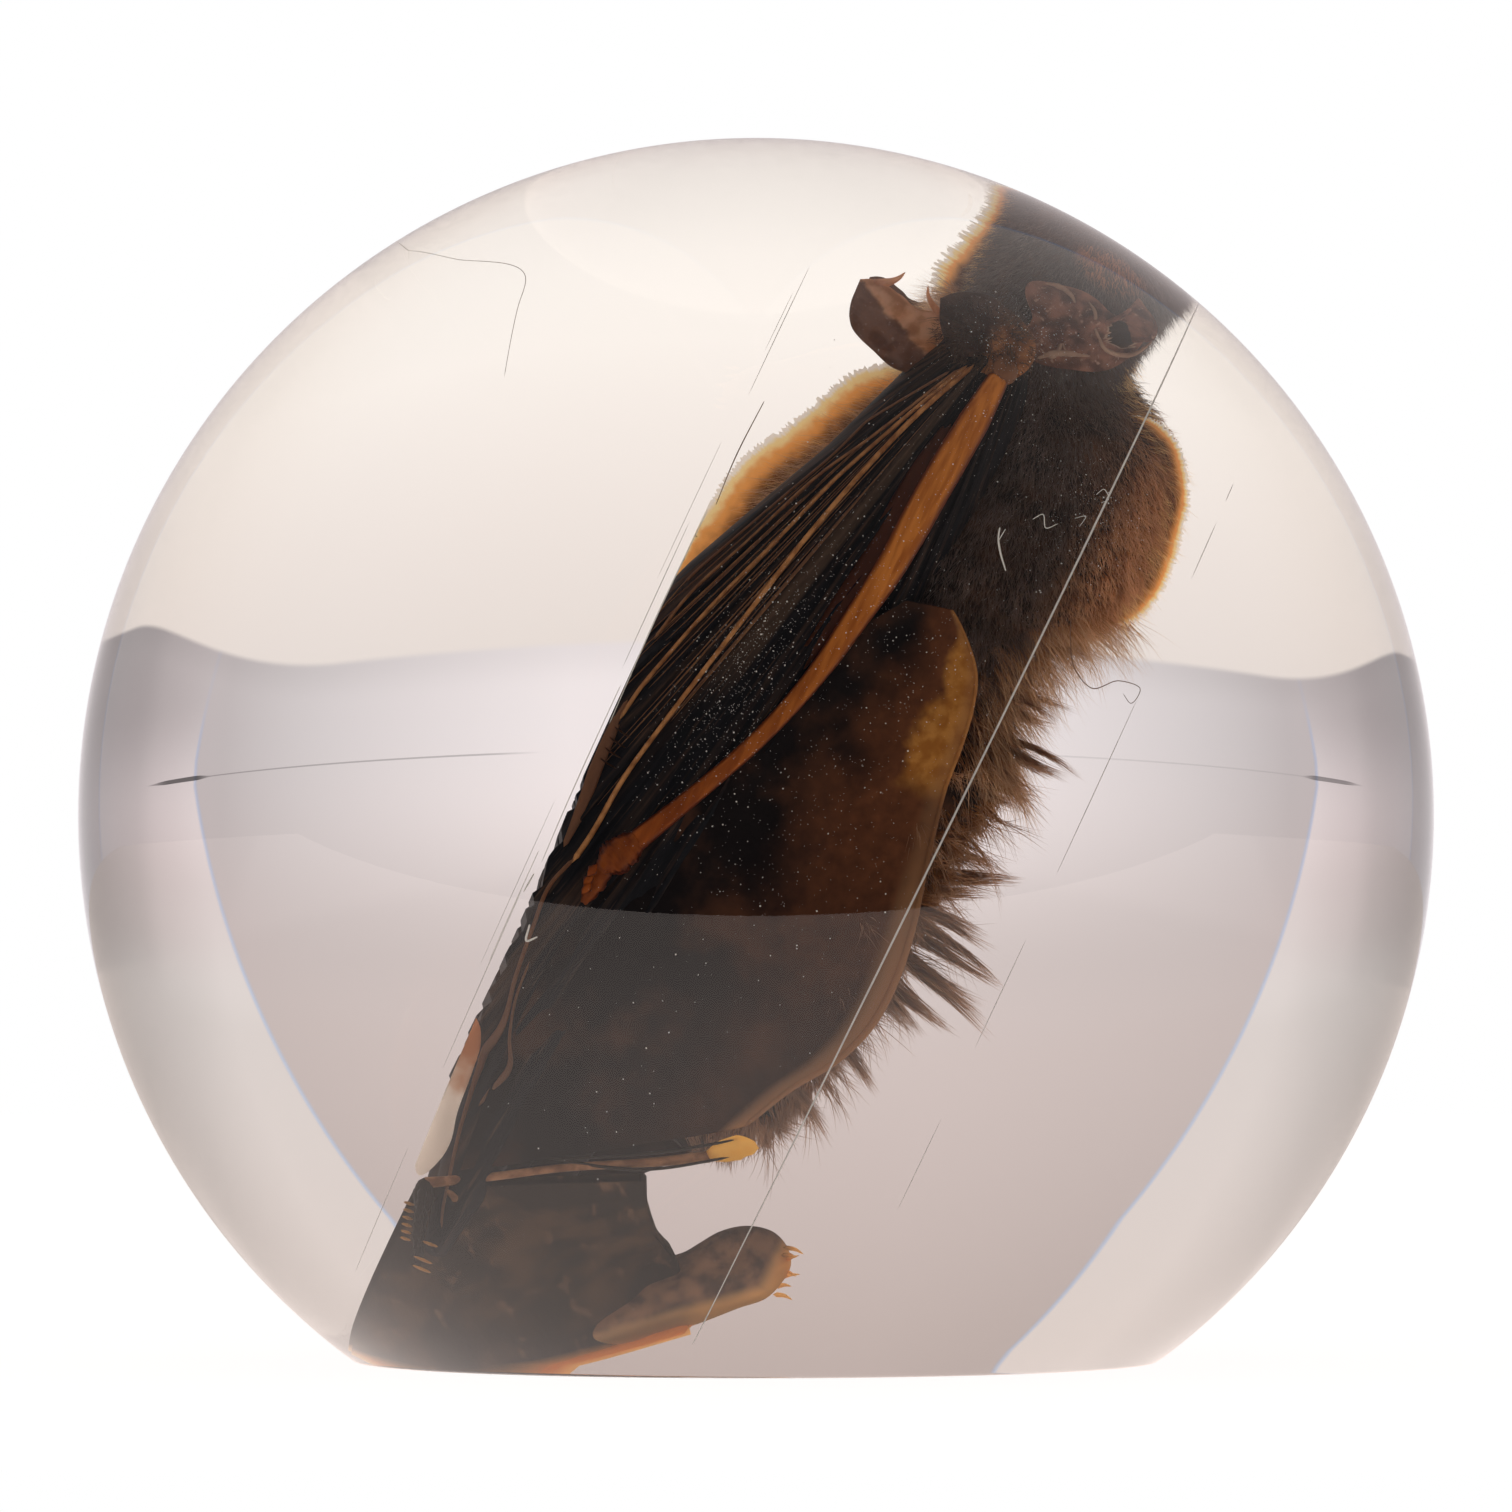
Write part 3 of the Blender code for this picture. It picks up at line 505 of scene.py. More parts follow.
def make_body():
    """The dark skin under the fur, out to the muzzle."""
    form = Form()
    heights = np.linspace(BODY_BOTTOM, BODY_TOP, 110)
    angles = np.linspace(0.0, 2.0 * math.pi, 72, endpoint=False)
    tall, turn = np.meshgrid(heights, angles, indexing="ij")
    points, out = body_surface(tall, turn, skin_sink(tall, turn))
    points += out * (lumps(points, 5.0, 3) * 0.35)[..., None]
    points[0] = points[0].mean(axis=0)
    points[-1] = points[-1].mean(axis=0)
    along = (tall - BODY_BOTTOM) / (BODY_TOP - BODY_BOTTOM)
    form.grid(points, np.stack((turn / 6.3, along), -1), closed=True)
    shade = new_shade("dark_skin")
    place = shade.place()
    blotch = shade.noise(place, 0.55, 5.0)
    colour = shade.fade(blotch, 0.35, 0.7, (0.016, 0.009, 0.006), (0.09, 0.038, 0.018))
    form.piece("bat_body", shade.surface(colour, 0.6, shade.noise(place, 4.0, 4.0), 0.08))


def lock_strands(form, root, middle, tip, size, width, closing, segments, length_low=0.55, wobble=0.15):
    """Hairs of pointed locks: one ribbon for each row given, from near the root to near the tip."""
    count = len(root)
    way = tip - root
    way /= np.linalg.norm(way, axis=1)[:, None]
    off = RNG.normal(size=(count, 3))
    off -= way * np.sum(off * way, axis=1)[:, None]
    off /= np.linalg.norm(off, axis=1)[:, None]
    off *= (size * np.sqrt(RNG.uniform(0.0, 1.0, count)))[:, None]
    stray = RNG.normal(size=(count, 3)) * wobble
    reach = RNG.uniform(length_low, 1.0, count)
    side = np.cross(way, RNG.normal(size=(count, 3)))
    side /= np.linalg.norm(side, axis=1)[:, None]
    tone = RNG.uniform(0.0, 1.0, count)
    rows = []
    for step in range(segments + 1):
        share = step / segments
        part = (share * reach)[:, None]
        line = (1 - part) ** 2 * root + 2 * part * (1 - part) * middle + part ** 2 * tip
        line = line + off * (1.0 - closing * part ** 0.8) + stray * share ** 2
        half = side * (0.5 * width * (1.0 - share) ** 0.6)
        rows += [line - half, line + half] if step < segments else [line]
    points = np.stack(rows, axis=1)
    each = points.shape[1]
    shares = [step / segments for step in range(segments) for _ in range(2)] + [1.0]
    marks = np.stack(np.broadcast_arrays(tone[:, None], np.array(shares)[None, :]), axis=-1)
    start = (np.arange(count) * each)[:, None] + form.count
    faces = []
    for step in range(segments - 1):
        corner = 2 * step
        faces += (start + np.array((corner, corner + 1, corner + 3, corner + 2))).tolist()
    corner = 2 * (segments - 1)
    faces += (start + np.array((corner, corner + 1, corner + 2))).tolist()
    form.points.append(points.reshape(-1, 3))
    form.marks.append(marks.reshape(-1, 2))
    form.faces.extend(faces)
    form.count += count * each


def coat(form, heights, angles, locks, hairs, length, lean, size, width, closing, segments, keep=None):
    """A coat of small locks scattered over part of the body; lean lays them towards the tail."""
    tall = RNG.uniform(*heights, locks)
    turn = np.radians(RNG.uniform(*angles, locks))
    root, out = body_surface(tall, turn, skin_sink(tall, turn))
    if keep is not None:
        kept = keep(root)
        root, out, tall, turn = root[kept], out[kept], tall[kept], turn[kept]
    locks = len(root)
    down = np.array((0.0, 0.0, -1.0))
    swirl = RNG.normal(size=(locks, 3)) * 0.16
    tilt = np.radians(lean + RNG.normal(size=locks) * 7.0)[:, None]
    way = out * np.cos(tilt) + down * np.sin(tilt) + swirl
    way /= np.linalg.norm(way, axis=1)[:, None]
    reach = (length(tall) if callable(length) else length) * RNG.uniform(0.8, 1.15, locks)
    tip = root + way * reach[:, None]
    middle = root + (out * 0.6 + way * 0.4) * (reach * 0.5)[:, None]
    each = np.repeat(np.arange(locks), hairs)
    lock_strands(form, root[each], middle[each], tip[each], size, width, closing, segments)


def beside_wing(root):
    """Roots that the folded wings do not cover."""
    off = np.abs(root[:, 1] - MID_SIDE)
    edge = station(WING, root[:, 2])[1] - 0.4
    return (root[:, 0] > edge) | (off < 3.0) | (root[:, 2] > 27.0)


def fur_material(name, root, tip, glow, share, spot=None, lit=None):
    """Hair that is dark where it is deep and glows where light from behind comes through it."""
    shade = new_shade(name)
    mark = shade.marks()
    patch = shade.span(shade.noise(shade.place(), 0.3, 4.0), 0.3, 0.7, 0.6, 1.4)
    tone = shade.times(shade.span(mark[0], 0.0, 1.0, 0.85, 1.15, "LINEAR"), patch)
    colour = shade.fade(mark[1], 0.1, 1.0, root, tip)
    colour = shade.dim(colour, tone)
    if spot is not None:
        off = shade.space("DISTANCE", shade.place(), {1: spot}, "Value")
        colour = shade.fade(off, 2.6, 1.4, colour, (0.5, 0.2, 0.09))
    if lit is not None:
        share = shade.span(shade.parts(shade.place())[0], *lit, share, 0.85)
    light = shade.fade(mark[1], 0.0, 0.9, (0.42, 0.17, 0.05), glow)
    return shade.surface(colour, 0.6, glow=light, share=share)


def beside_ear(root):
    """Roots outside the bare skin round each ear."""
    off = np.hypot((root[:, 0] - EAR_MIDDLE[0]) / EAR_REACH[0], (root[:, 2] - EAR_MIDDLE[1]) / EAR_REACH[1])
    return (off > 0.52) | (np.abs(root[:, 1] - EAR_SHIFT) < 2.0)


def head_hair(height):
    """Length of the head's hair, short towards the nose."""
    return np.interp(height, (26.0, 34.0, 38.0), (1.2, 1.2, 0.6))


# Reddish spot on the near side of the head
HEAD_SPOT = (5.1, -1.0, 33.7)

# Long wet locks on the loins, seen against the light: root x and z, tip x and z
WET_LOCKS = (
    ((8.0, 12.0), (11.5, 12.9)), ((8.0, 9.2), (11.1, 9.7)), ((8.2, 8.6), (10.4, 9.2)),
    ((8.6, 7.5), (12.6, 7.5)), ((8.4, 7.0), (11.6, 7.0)), ((8.4, 6.6), (10.9, 6.3)),
    ((8.6, 5.0), (10.9, 5.7)), ((8.4, 0.4), (11.9, 2.7)),
    ((8.4, -0.2), (10.8, 1.4)), ((8.9, -0.8), (11.9, -0.9)), ((9.2, -1.6), (13.2, -2.2)),
    ((9.2, -2.4), (12.6, -3.2)), ((9.1, -3.2), (13.7, -4.5)), ((9.0, -4.0), (12.1, -5.2)),
    ((8.8, -4.6), (10.9, -6.0)), ((8.2, -7.2), (9.9, -9.0)), ((6.6, -10.2), (9.2, -11.9)),
    ((5.4, -11.4), (7.8, -12.2)), ((4.2, -12.4), (5.6, -14.8)), ((3.6, -12.8), (4.2, -15.0)),
)


def wisps(form, roots, middles, tips, hairs, size, width, bend):
    """Fine hairs gathered in wet, pointed wisps."""
    each = np.repeat(np.arange(len(roots)), hairs)
    spread = np.repeat(RNG.uniform(size * 0.6, size * 1.3, len(roots)), hairs)
    lines = [np.array(places)[each] for places in (roots, middles, tips)]
    lock_strands(form, *lines, spread, width, 0.9, 5, 0.5, bend)


def fringe(form, heights, angles, count, length, lean):
    """Fine hairs that reach past the coat, where the light comes through them from behind."""
    coat(form, heights, angles, count, 3, length, lean, 0.25, 0.035, 0.1, 3)


EDGE_STEPS = 260
# Outlines of the fur against the light: side, reach inside and outside, then x and z along it
FUR_EDGES = (
    (3.5, 1.1, 0.95, ((0.6, 38.4), (-0.6, 37.8), (-1.5, 36.6), (-1.8, 35.3), (-1.52, 32.7),
                      (-1.35, 30.8), (-1.5, 29.3), (-1.75, 27.9), (-1.95, 26.8), (-2.1, 25.7),
                      (-1.7, 24.6), (-0.5, 24.2))),
    (0.7, 2.6, 0.5, ((-0.6, 21.4), (-2.2, 21.0), (-3.57, 20.2), (-4.19, 19.4), (-4.93, 17.7), (-5.67, 16.1),
                     (-6.5, 14.7), (-7.04, 13.2), (-7.29, 11.6), (-7.8, 9.6), (-7.6, 7.0))),
    (0.7, 1.2, 0.45, ((8.6, 13.4), (10.2, 14.2), (11.6, 15.3), (12.1, 16.6), (12.2, 17.8), (12.1, 19.1),
                      (11.94, 20.3), (11.8, 21.3), (11.4, 22.2), (10.9, 23.1), (10.15, 23.8),
                      (9.0, 24.1), (7.4, 23.6))),
)


def edge_material():
    """The fur's outermost hairs, lit through, with a painted glow in their own colour: dark, then orange,
    yellow and nearly white at the tips.
    """
    shade = new_shade("lit_fur_edge")
    mark = shade.marks()
    grain = shade.noise(shade.place(), 1.6, 4.0)
    share = shade.plus(mark[1], shade.times(shade.minus(grain, 0.5), 0.25))
    light = shade.fade(share, 0.3, 0.62, (0.12, 0.06, 0.035), (0.9, 0.42, 0.13))
    light = shade.fade(share, 0.6, 0.76, light, (1.0, 0.8, 0.4))
    light = shade.fade(share, 0.76, 0.92, light, (1.0, 0.97, 0.9))
    return shade.surface(light, 0.7, glow=light, share=shade.span(share, 0.2, 0.5, 0.5, 0.97))


def make_fur_edges():
    form = Form()
    for side, inside, outside, places in FUR_EDGES:
        line, _ = smooth_line([(x, side, z) for x, z in places], EDGE_STEPS)
        along = np.gradient(line, axis=0)
        out = np.stack((along[:, 2], 0.0 * along[:, 2], -along[:, 0]), -1)
        out /= np.linalg.norm(out, axis=1)[:, None]
        out *= np.sign(np.sum(out * (line - (3.0, side, line[:, 2].mean())), axis=1).mean())
        step = np.arange(EDGE_STEPS)
        ends = np.clip(np.minimum(step, step[::-1]) / 34.0, 0.02, 1.0)
        tips = outside * RNG.uniform(0.55, 1.1, EDGE_STEPS)
        reach = np.linspace(-inside, 1.0, 9)[None, :]
        reach = np.where(reach > 0.0, reach * tips[:, None], reach) * ends[:, None]
        points = line[:, None] + out[:, None] * reach[..., None]
        marks = np.broadcast_to(np.linspace(0.0, 1.0, 9)[None, :], reach.shape)
        form.grid(points, np.stack((0.5 + 0.0 * marks, marks), -1))
    form.piece("fur_edges", edge_material())


# Hair colours: at the root, at the tip, of the light that comes through, and that light's share
PLUSH = ((0.07, 0.043, 0.034), (0.17, 0.13, 0.118), (0.75, 0.42, 0.24), 0.08)
FRINGE = ((0.3, 0.13, 0.04), (0.8, 0.5, 0.22), (1.0, 0.72, 0.36), 0.9)
HAZE = ((0.1, 0.05, 0.03), (0.3, 0.2, 0.14), (0.85, 0.55, 0.34), 0.55)
WET = ((0.03, 0.017, 0.012), (0.08, 0.05, 0.038), (0.7, 0.42, 0.27), 0.45)
HEAD_HAIR = ((0.075, 0.058, 0.055), (0.21, 0.18, 0.172), (0.5, 0.3, 0.14), 0.08)
CHEST_HAIR = ((0.2, 0.13, 0.1), (0.42, 0.31, 0.24), (0.8, 0.58, 0.42), 0.55)
WRIST_HAIR = ((0.03, 0.02, 0.016), (0.12, 0.085, 0.07), (0.5, 0.3, 0.15), 0.1)


# Coats: heights, angles off the back, locks, hairs in each, length, lean, lock's size, hair's width, how far
# a lock closes to a point, segments
PLUSH_COAT = ((8.5, 26.5), (-118, 118), 9000, 7, 1.25, 50.0, 0.4, 0.042, 0.12, 2)
LOIN_COAT = ((-14.0, 10.5), (-62, 62), 1500, 6, 1.35, 40.0, 0.4, 0.055, 0.6, 3)
HEAD_COAT = ((25.5, 37.8), (-180, 180), 6200, 7, head_hair, 54.0, 0.32, 0.04, 0.12, 2)
CHEST_COAT = ((6.0, 25.5), (112, 248), 3000, 9, 3.2, 34.0, 0.5, 0.04, 0.15, 3)
# Fringes: heights, angles off the back, count, length, lean
HUMP_FRINGE = ((14.0, 26.5), (-14, 14), 420, 1.7, 30.0)
THROAT_FRINGE = ((25.0, 38.0), (166, 194), 420, 1.1, 32.0)
CHEST_FRINGE = ((9.0, 25.5), (166, 194), 360, 3.2, 26.0)
LOIN_HAZE = ((6.0, 15.0), (-40, 40), 900, 3.7, 34.0)
# Where along x light begins to come through the shoulders' hair, and where it is full
PLUSH_LIT = (7.4, 11.0)
SHORT_WISPS = 120


def make_fur():
    make_fur_edges()
    plush = Form()
    coat(plush, *PLUSH_COAT, beside_wing)
    plush.piece("fur_shoulders", fur_material("plush_fur", *PLUSH, lit=PLUSH_LIT))
    glow = Form()
    for row in (HUMP_FRINGE, THROAT_FRINGE, CHEST_FRINGE):
        fringe(glow, *row)
    glow.piece("fur_fringe", fur_material("fringe_fur", *FRINGE))
    haze = Form()
    fringe(haze, *LOIN_HAZE)
    haze.piece("fur_haze", fur_material("haze_fur", *HAZE))
    loins = Form()
    coat(loins, *LOIN_COAT)
    roots, middles, tips = [], [], []
    for (root_x, root_z), (tip_x, tip_z) in WET_LOCKS:
        for _ in range(2):
            side = MID_SIDE + RNG.uniform(-2.2, 2.2)
            roots.append(np.array((root_x - 1.6, side, root_z + RNG.uniform(-0.4, 0.4))))
            tips.append(np.array((tip_x, side + RNG.uniform(-0.6, 0.6), tip_z + RNG.uniform(-0.5, 0.3))))
            middles.append((roots[-1] + tips[-1]) / 2.0 + np.array((0.0, 0.0, RNG.uniform(-0.4, 0.9))))
    wisps(loins, roots, middles, tips, 90, 0.45, 0.055, 0.12)
    roots, middles, tips = [], [], []
    for _ in range(SHORT_WISPS):
        tall, turn = np.array(RNG.uniform(-12.5, 13.0)), np.array(RNG.uniform(-0.9, 0.9))
        root, out = body_surface(tall, turn, skin_sink(tall, turn))
        reach = (1.8 + 2.0 * math.exp(-((tall + 1.0) / 8.0) ** 2)) * RNG.uniform(0.6, 1.1)
        sway = np.array((0.0, RNG.uniform(-0.3, 0.3), RNG.uniform(-0.7, 0.35)))
        roots.append(root)
        tips.append(root + (out + sway) * reach)
        middles.append(root + out * reach * 0.55 + np.array((0.0, 0.0, RNG.uniform(-0.2, 0.6))))
    wisps(loins, roots, middles, tips, 20, 0.4, 0.045, 0.5)
    loins.piece("fur_loins", fur_material("wet_fur", *WET))
    head = Form()
    coat(head, *HEAD_COAT, beside_ear)
    head.piece("fur_head", fur_material("head_fur", *HEAD_HAIR, HEAD_SPOT))
    chest = Form()
    coat(chest, *CHEST_COAT)
    chest.piece("fur_chest", fur_material("chest_fur", *CHEST_HAIR))


# Wings


def wing_material():
    """Black membrane with grey-brown streaks that follow the folds, thin and tan at the belly edge."""
    shade = new_shade("wing_membrane")
    place = shade.place()
    split = shade.parts(place)
    across = shade.minus(split[0], FAN_X)
    below = shade.minus(FAN_Z, split[2])
    angle = shade.times(shade.math("ARCTAN2", across, below), DEGREES)
    lane = shade.vector(angle, shade.times(split[2], 0.06), 0.0)
    streak = shade.noise(lane, 0.9, 4.0, 0.6)
    fine = shade.noise(lane, 4.0, 3.0, 0.6)
    band = shade.times(shade.span(angle, -15.6, -14.8), shade.span(angle, -13.0, -12.4, 1.0, 0.0))
    band = shade.times(band, shade.span(split[2], 3.0, 9.0))
    colour = shade.fade(streak, 0.48, 0.8, (0.008, 0.008, 0.01), (0.07, 0.038, 0.024))
    colour = shade.blend(shade.times(shade.span(fine, 0.56, 0.74), 0.4), colour, (0.15, 0.08, 0.045))
    colour = shade.blend(shade.times(band, 0.6), colour, (0.1, 0.062, 0.042))
    edge = shade.span(angle, -27.0, -20.0, 1.0, 0.0)
    low = shade.times(shade.span(split[2], -6.0, 2.0), shade.span(split[2], 9.0, 14.0, 1.0, 0.3))
    tan = shade.times(shade.times(edge, low), shade.span(streak, 0.4, 0.6))
    colour = shade.blend(shade.times(tan, 0.6), colour, (0.2, 0.1, 0.06))
    return shade.surface(colour, 0.5, fine, 0.05, (0.6, 0.27, 0.1), shade.times(tan, 0.3))


def make_wings():
    form = Form()
    heights = np.linspace(WING_BOTTOM, WING_TOP, 116)
    turns = np.concatenate((np.linspace(math.pi, 2.0 * math.pi, 140), np.linspace(0.0, math.pi, 20)[1:-1]))
    tall, turn = np.meshgrid(heights, turns, indexing="ij")
    belly, back, outer, inner = station(WING, tall)
    x = (belly + back) / 2.0 + np.cos(turn) * (back - belly) / 2.0
    y = (outer + inner) / 2.0 + np.sin(turn) * (inner - outer) / 2.0
    relief = pleats(x, tall) * np.clip(-np.sin(turn) * 1.6, 0.0, 1.0)
    points = np.stack((x, y - relief, tall), -1)
    torn = SEAM_X + SEAM_LEAN * points[..., 1] + 0.2 * (1.0 + np.sin(tall * 5.1 + 2.0 * np.sin(tall * 2.3)))
    points[..., 0] = np.where(tall < -2.0, np.maximum(points[..., 0], torn), points[..., 0])
    points[0] = points[0].mean(axis=0)
    points[-1] = points[-1].mean(axis=0)
    along = (tall - WING_BOTTOM) / (WING_TOP - WING_BOTTOM)
    form.grid(points, np.stack((turn / 6.3, along), -1), closed=True)
    form.mirror()
    form.piece("wing_membranes", wing_material())


def bone_material():
    """Dried forearm: glossy amber where light gets in, red-brown along its belly side, and painted shade on
    the sides that turn away from the viewer.
    """
    shade = new_shade("amber_bone")
    mark = shade.marks()
    place = shade.place()
    grain = shade.noise(shade.space("MULTIPLY", place, {1: (3.0, 3.0, 0.35)}), 1.0, 4.0)
    colour = shade.fade(grain, 0.3, 0.7, (0.36, 0.1, 0.012), (0.62, 0.21, 0.035))
    # painted shade: darker on the sides that turn away from the viewer, lightest where the bone faces the
    # viewer
    colour = shade.fade(mark[1], 0.85, 0.35, colour, (0.13, 0.03, 0.008))
    colour = shade.blend(shade.span(shade.parts(place)[2], 19.0, -6.0), colour,
                         shade.tint(colour, (0.5, 0.33, 0.18)))
    colour = shade.fade(mark[0], 0.2, 0.8, colour, (0.05, 0.012, 0.005))
    colour = shade.fade(mark[0], 1.3, 1.6, colour, (0.2, 0.085, 0.04))
    return shade.surface(colour, 0.4, grain, 0.04, (0.9, 0.35, 0.06), 0.12, 0.12)


def finger_material():
    shade = new_shade("finger_bone")
    mark = shade.marks()
    place = shade.place()
    grain = shade.noise(place, 1.6, 4.0)
    colour = shade.fade(grain, 0.3, 0.7, (0.22, 0.085, 0.03), (0.55, 0.26, 0.1))
    colour = shade.fade(mark[0], 0.0, 1.0, colour, (0.15, 0.075, 0.045))
    # near black on the knuckle's folds: painted shade in the creases
    colour = shade.fade(mark[0], 1.6, 1.9, colour, (0.012, 0.007, 0.005))
    return shade.surface(colour, 0.45, grain, 0.03, (0.8, 0.38, 0.12), 0.2, 0.08)


def make_arms():
    arm = Form()
    line = on_wing(FOREARM, 0.45, 40)
    arm.tube(line, FOREARM_RADII, 20, 110, flat=0.8)
    muscle = line[5:26] + np.array((-0.95, 0.3, 0.0))
    arm.tube(muscle, MUSCLE_RADII, 12, 60, flat=0.75, tone=MUSCLE_TONE)
    low = line[-1]
    reach = line[-1] - line[-3]
    reach /= np.linalg.norm(reach)
    arm.tube((low - reach * 0.9, low, low + reach * 0.8, low + reach * 1.6), (0.45, 0.8, 0.85, 0.3), 16, 26,
             rough=0.14, tone=0.35)
    arm.tube((low + reach * 1.0, low + reach * 1.8 + (0.2, 0.4, -0.3), low + reach * 2.3 + (0.3, 0.9, -1.2)),
             (0.4, 0.5, 0.2), 10, 16, rough=0.2, tone=0.4)
    for index in range(6):
        spot = low + reach * (0.4 + 0.45 * index) + RNG.uniform(-0.35, 0.35, 3) + np.array((0.0, -0.3, 0.0))
        arm.tube((spot - (0.1, 0.0, 0.3), spot, spot + (0.1, 0.0, 0.3)), (0.1, 0.26, 0.1), 8, 8, rough=0.2)
    arm.tube(WRIST_BONE, (0.4, 0.75, 0.4), 14, 20, rough=0.1, tone=WRIST_TONE)
    arm.mirror()
    arm.piece("forearms", bone_material())
    fingers = Form()
    for index, (places, radius) in enumerate(zip(FINGERS, FINGER_RADII)):
        radii = radius * np.array((1.0, 0.9, 0.85, 0.8, 1.0))
        fingers.tube(on_wing(places, 0.18), radii, 8, 80, tone=0.3 * index)
    fingers.tube(on_wing(WING_TIP, 0.25), WING_TIP_RADII, 8, 70, tone=TIP_TONE)
    fingers.tube(on_wing(SECOND_TIP, 0.2, 20), (0.05, 0.07, 0.08, 0.18, 0.07), 8, 30, tone=TIP_TONE)
    fingers.tube(on_wing(KNUCKLE, 0.2, 20), (0.1, 0.3, 0.34, 0.3, 0.12), 10, 40, flat=0.5, tone=KNUCKLE_TONE)
    # dark lines across the knuckle: painted shade in its folds
    for index in range(4):
        tall = 0.9 - 0.55 * index
        fold = ((-7.95, tall + 0.1), (-7.5, tall), (-7.05, tall - 0.05))
        fingers.tube(on_wing(fold, 0.42, 8), (0.03, 0.055, 0.03), 5, 10, tone=DARK_TONE)
    for _ in range(30):
        start = RNG.uniform(-0.8, 0.4)
        lane = RNG.uniform(-26.0, -15.0)
        top, low = RNG.uniform(14.0, 23.0), RNG.uniform(-3.0, 9.0)
        places = []
        for tall in np.linspace(top, low, 5):
            places.append((FAN_X + math.tan(math.radians(lane)) * (FAN_Z - tall) + start * 0.15, tall))
        fingers.tube(on_wing(places, 0.1, 16), (0.012, 0.028, 0.038, 0.028, 0.012), 5, 24, flat=0.6,
                     tone=RNG.uniform(0.5, 1.5))
    fingers.mirror()
    fingers.piece("finger_bones", finger_material())
    tips = Form()
    tips.pad(TIP_SKIN, -7.3, 0.08, 8, 70, 0.06, 31)
    tips.piece("wing_tip_skins", tip_skin_material())


# Thin skin between the wing's last bones and the seam: x and z
TIP_SKIN = ((-8.5, -14.4), (-8.0, -14.7), (-7.52, -15.6), (-7.35, -17.1), (-7.23, -19.5), (-7.0, -20.9),
            (-7.16, -22.1), (-7.9, -23.4), (-8.42, -22.7), (-8.5, -20.7), (-8.6, -18.4), (-8.65, -16.2))


def tip_skin_material():
    """Parchment-thin skin, tan and uneven where the light shines through it."""
    shade = new_shade("tip_skin")
    place = shade.place()
    lower = shade.span(shade.parts(place)[2], -15.0, -19.0, -0.15, 0.25)
    haze = shade.plus(shade.noise(place, 0.5, 3.0), lower)
    colour = shade.fade(haze, 0.35, 0.7, (0.3, 0.16, 0.1), (0.8, 0.66, 0.55))
    light = shade.fade(haze, 0.35, 0.7, (0.75, 0.48, 0.32), (1.0, 0.95, 0.9))
    return shade.surface(colour, 0.5, haze, 0.03, light, 0.9)


# Near thumb's outline in x and z, its two claws with their radii, and its place
THUMB = ((-6.43, 26.8), (-6.38, 26.1), (-6.3, 25.25), (-5.98, 24.3), (-5.65, 23.85), (-5.1, 23.5),
         (-4.35, 23.2), (-2.9, 22.7), (-1.6, 23.0), (-0.7, 24.2), (-1.2, 25.6), (-1.6, 26.25),
         (-2.1, 26.7), (-2.8, 26.5), (-3.45, 26.5), (-3.95, 26.75), (-4.5, 26.9), (-4.95, 27.05),
         (-5.5, 27.15), (-6.0, 27.05))
THUMB_CLAWS = (
    (((-5.6, 26.8), (-5.25, 27.15), (-4.95, 27.45), (-4.7, 27.85), (-4.55, 28.35)),
     (0.4, 0.3, 0.2, 0.12, 0.03)),
    (((-1.9, 26.3), (-2.2, 26.8), (-2.65, 27.15), (-2.95, 27.5), (-3.2, 28.1)),
     (0.3, 0.22, 0.16, 0.1, 0.02)),
)
THUMB_MIDDLE = (-3.6, 25.0)
THUMB_SIDE = -6.5
FAR_THUMB_MIDDLE = (-3.3, 21.5)
FAR_THUMB_SIDE = 7.6
FAR_THUMB_SHARE = 0.62
# Wrist, a dark pad with an amber inner part: outline in x and z
WRIST = ((-2.4, 28.2), (-1.9, 28.9), (-1.0, 29.5), (0.0, 29.8), (0.9, 29.5), (2.0, 29.1), (3.0, 28.2),
         (3.3, 26.8), (2.6, 25.3), (1.0, 24.6), (-0.6, 25.2), (-1.8, 26.6))
WRIST_SIDE = -8.2


def thumb_material():
    """Dark outside, flesh-brown inside where light gets through its root."""
    shade = new_shade("thumb_skin")
    place = shade.place()
    split = shade.parts(place)
    mottle = shade.noise(place, 1.1, 5.0)
    fine = shade.noise(place, 4.0, 3.0)
    # the bright part lies above a line from the outer top corner down to the wing
    across = shade.plus(shade.times(split[0], 0.53), split[2])
    inward = shade.span(shade.plus(across, mottle), 23.7, 24.2)
    colour = shade.fade(mottle, 0.4, 0.62, (0.045, 0.027, 0.027), (0.11, 0.07, 0.062))
    colour = shade.blend(shade.times(shade.span(fine, 0.62, 0.72), 0.5), colour, (0.35, 0.27, 0.24))
    bright = shade.fade(mottle, 0.35, 0.6, (0.2, 0.09, 0.05), (0.6, 0.38, 0.26))
    colour = shade.blend(inward, colour, bright)
    share = shade.span(inward, 0.0, 1.0, 0.2, 0.5)
    return shade.surface(colour, 0.5, mottle, 0.12, (1.0, 0.6, 0.3), share)


def wrist_material():
    """Dark fuzzy skin over the wrist, amber where the forearm ends."""
    shade = new_shade("wrist_skin")
    place = shade.place()
    split = shade.parts(place)
    mottle = shade.noise(place, 0.8, 5.0)
    fine = shade.noise(place, 5.0, 3.0)
    inward = shade.span(shade.plus(split[0], shade.times(mottle, 1.6)), 1.0, 2.3)
    inward = shade.times(inward, shade.span(split[2], 29.6, 28.2))
    dark = shade.fade(mottle, 0.4, 0.65, (0.016, 0.01, 0.009), (0.06, 0.036, 0.03))
    amber = shade.fade(mottle, 0.35, 0.65, (0.13, 0.046, 0.016), (0.38, 0.15, 0.055))
    colour = shade.blend(inward, dark, amber)
    colour = shade.blend(shade.times(shade.span(fine, 0.64, 0.74), 0.4), colour, (0.4, 0.3, 0.25))
    return shade.surface(colour, 0.6, mottle, 0.15, (0.8, 0.35, 0.12), 0.12)


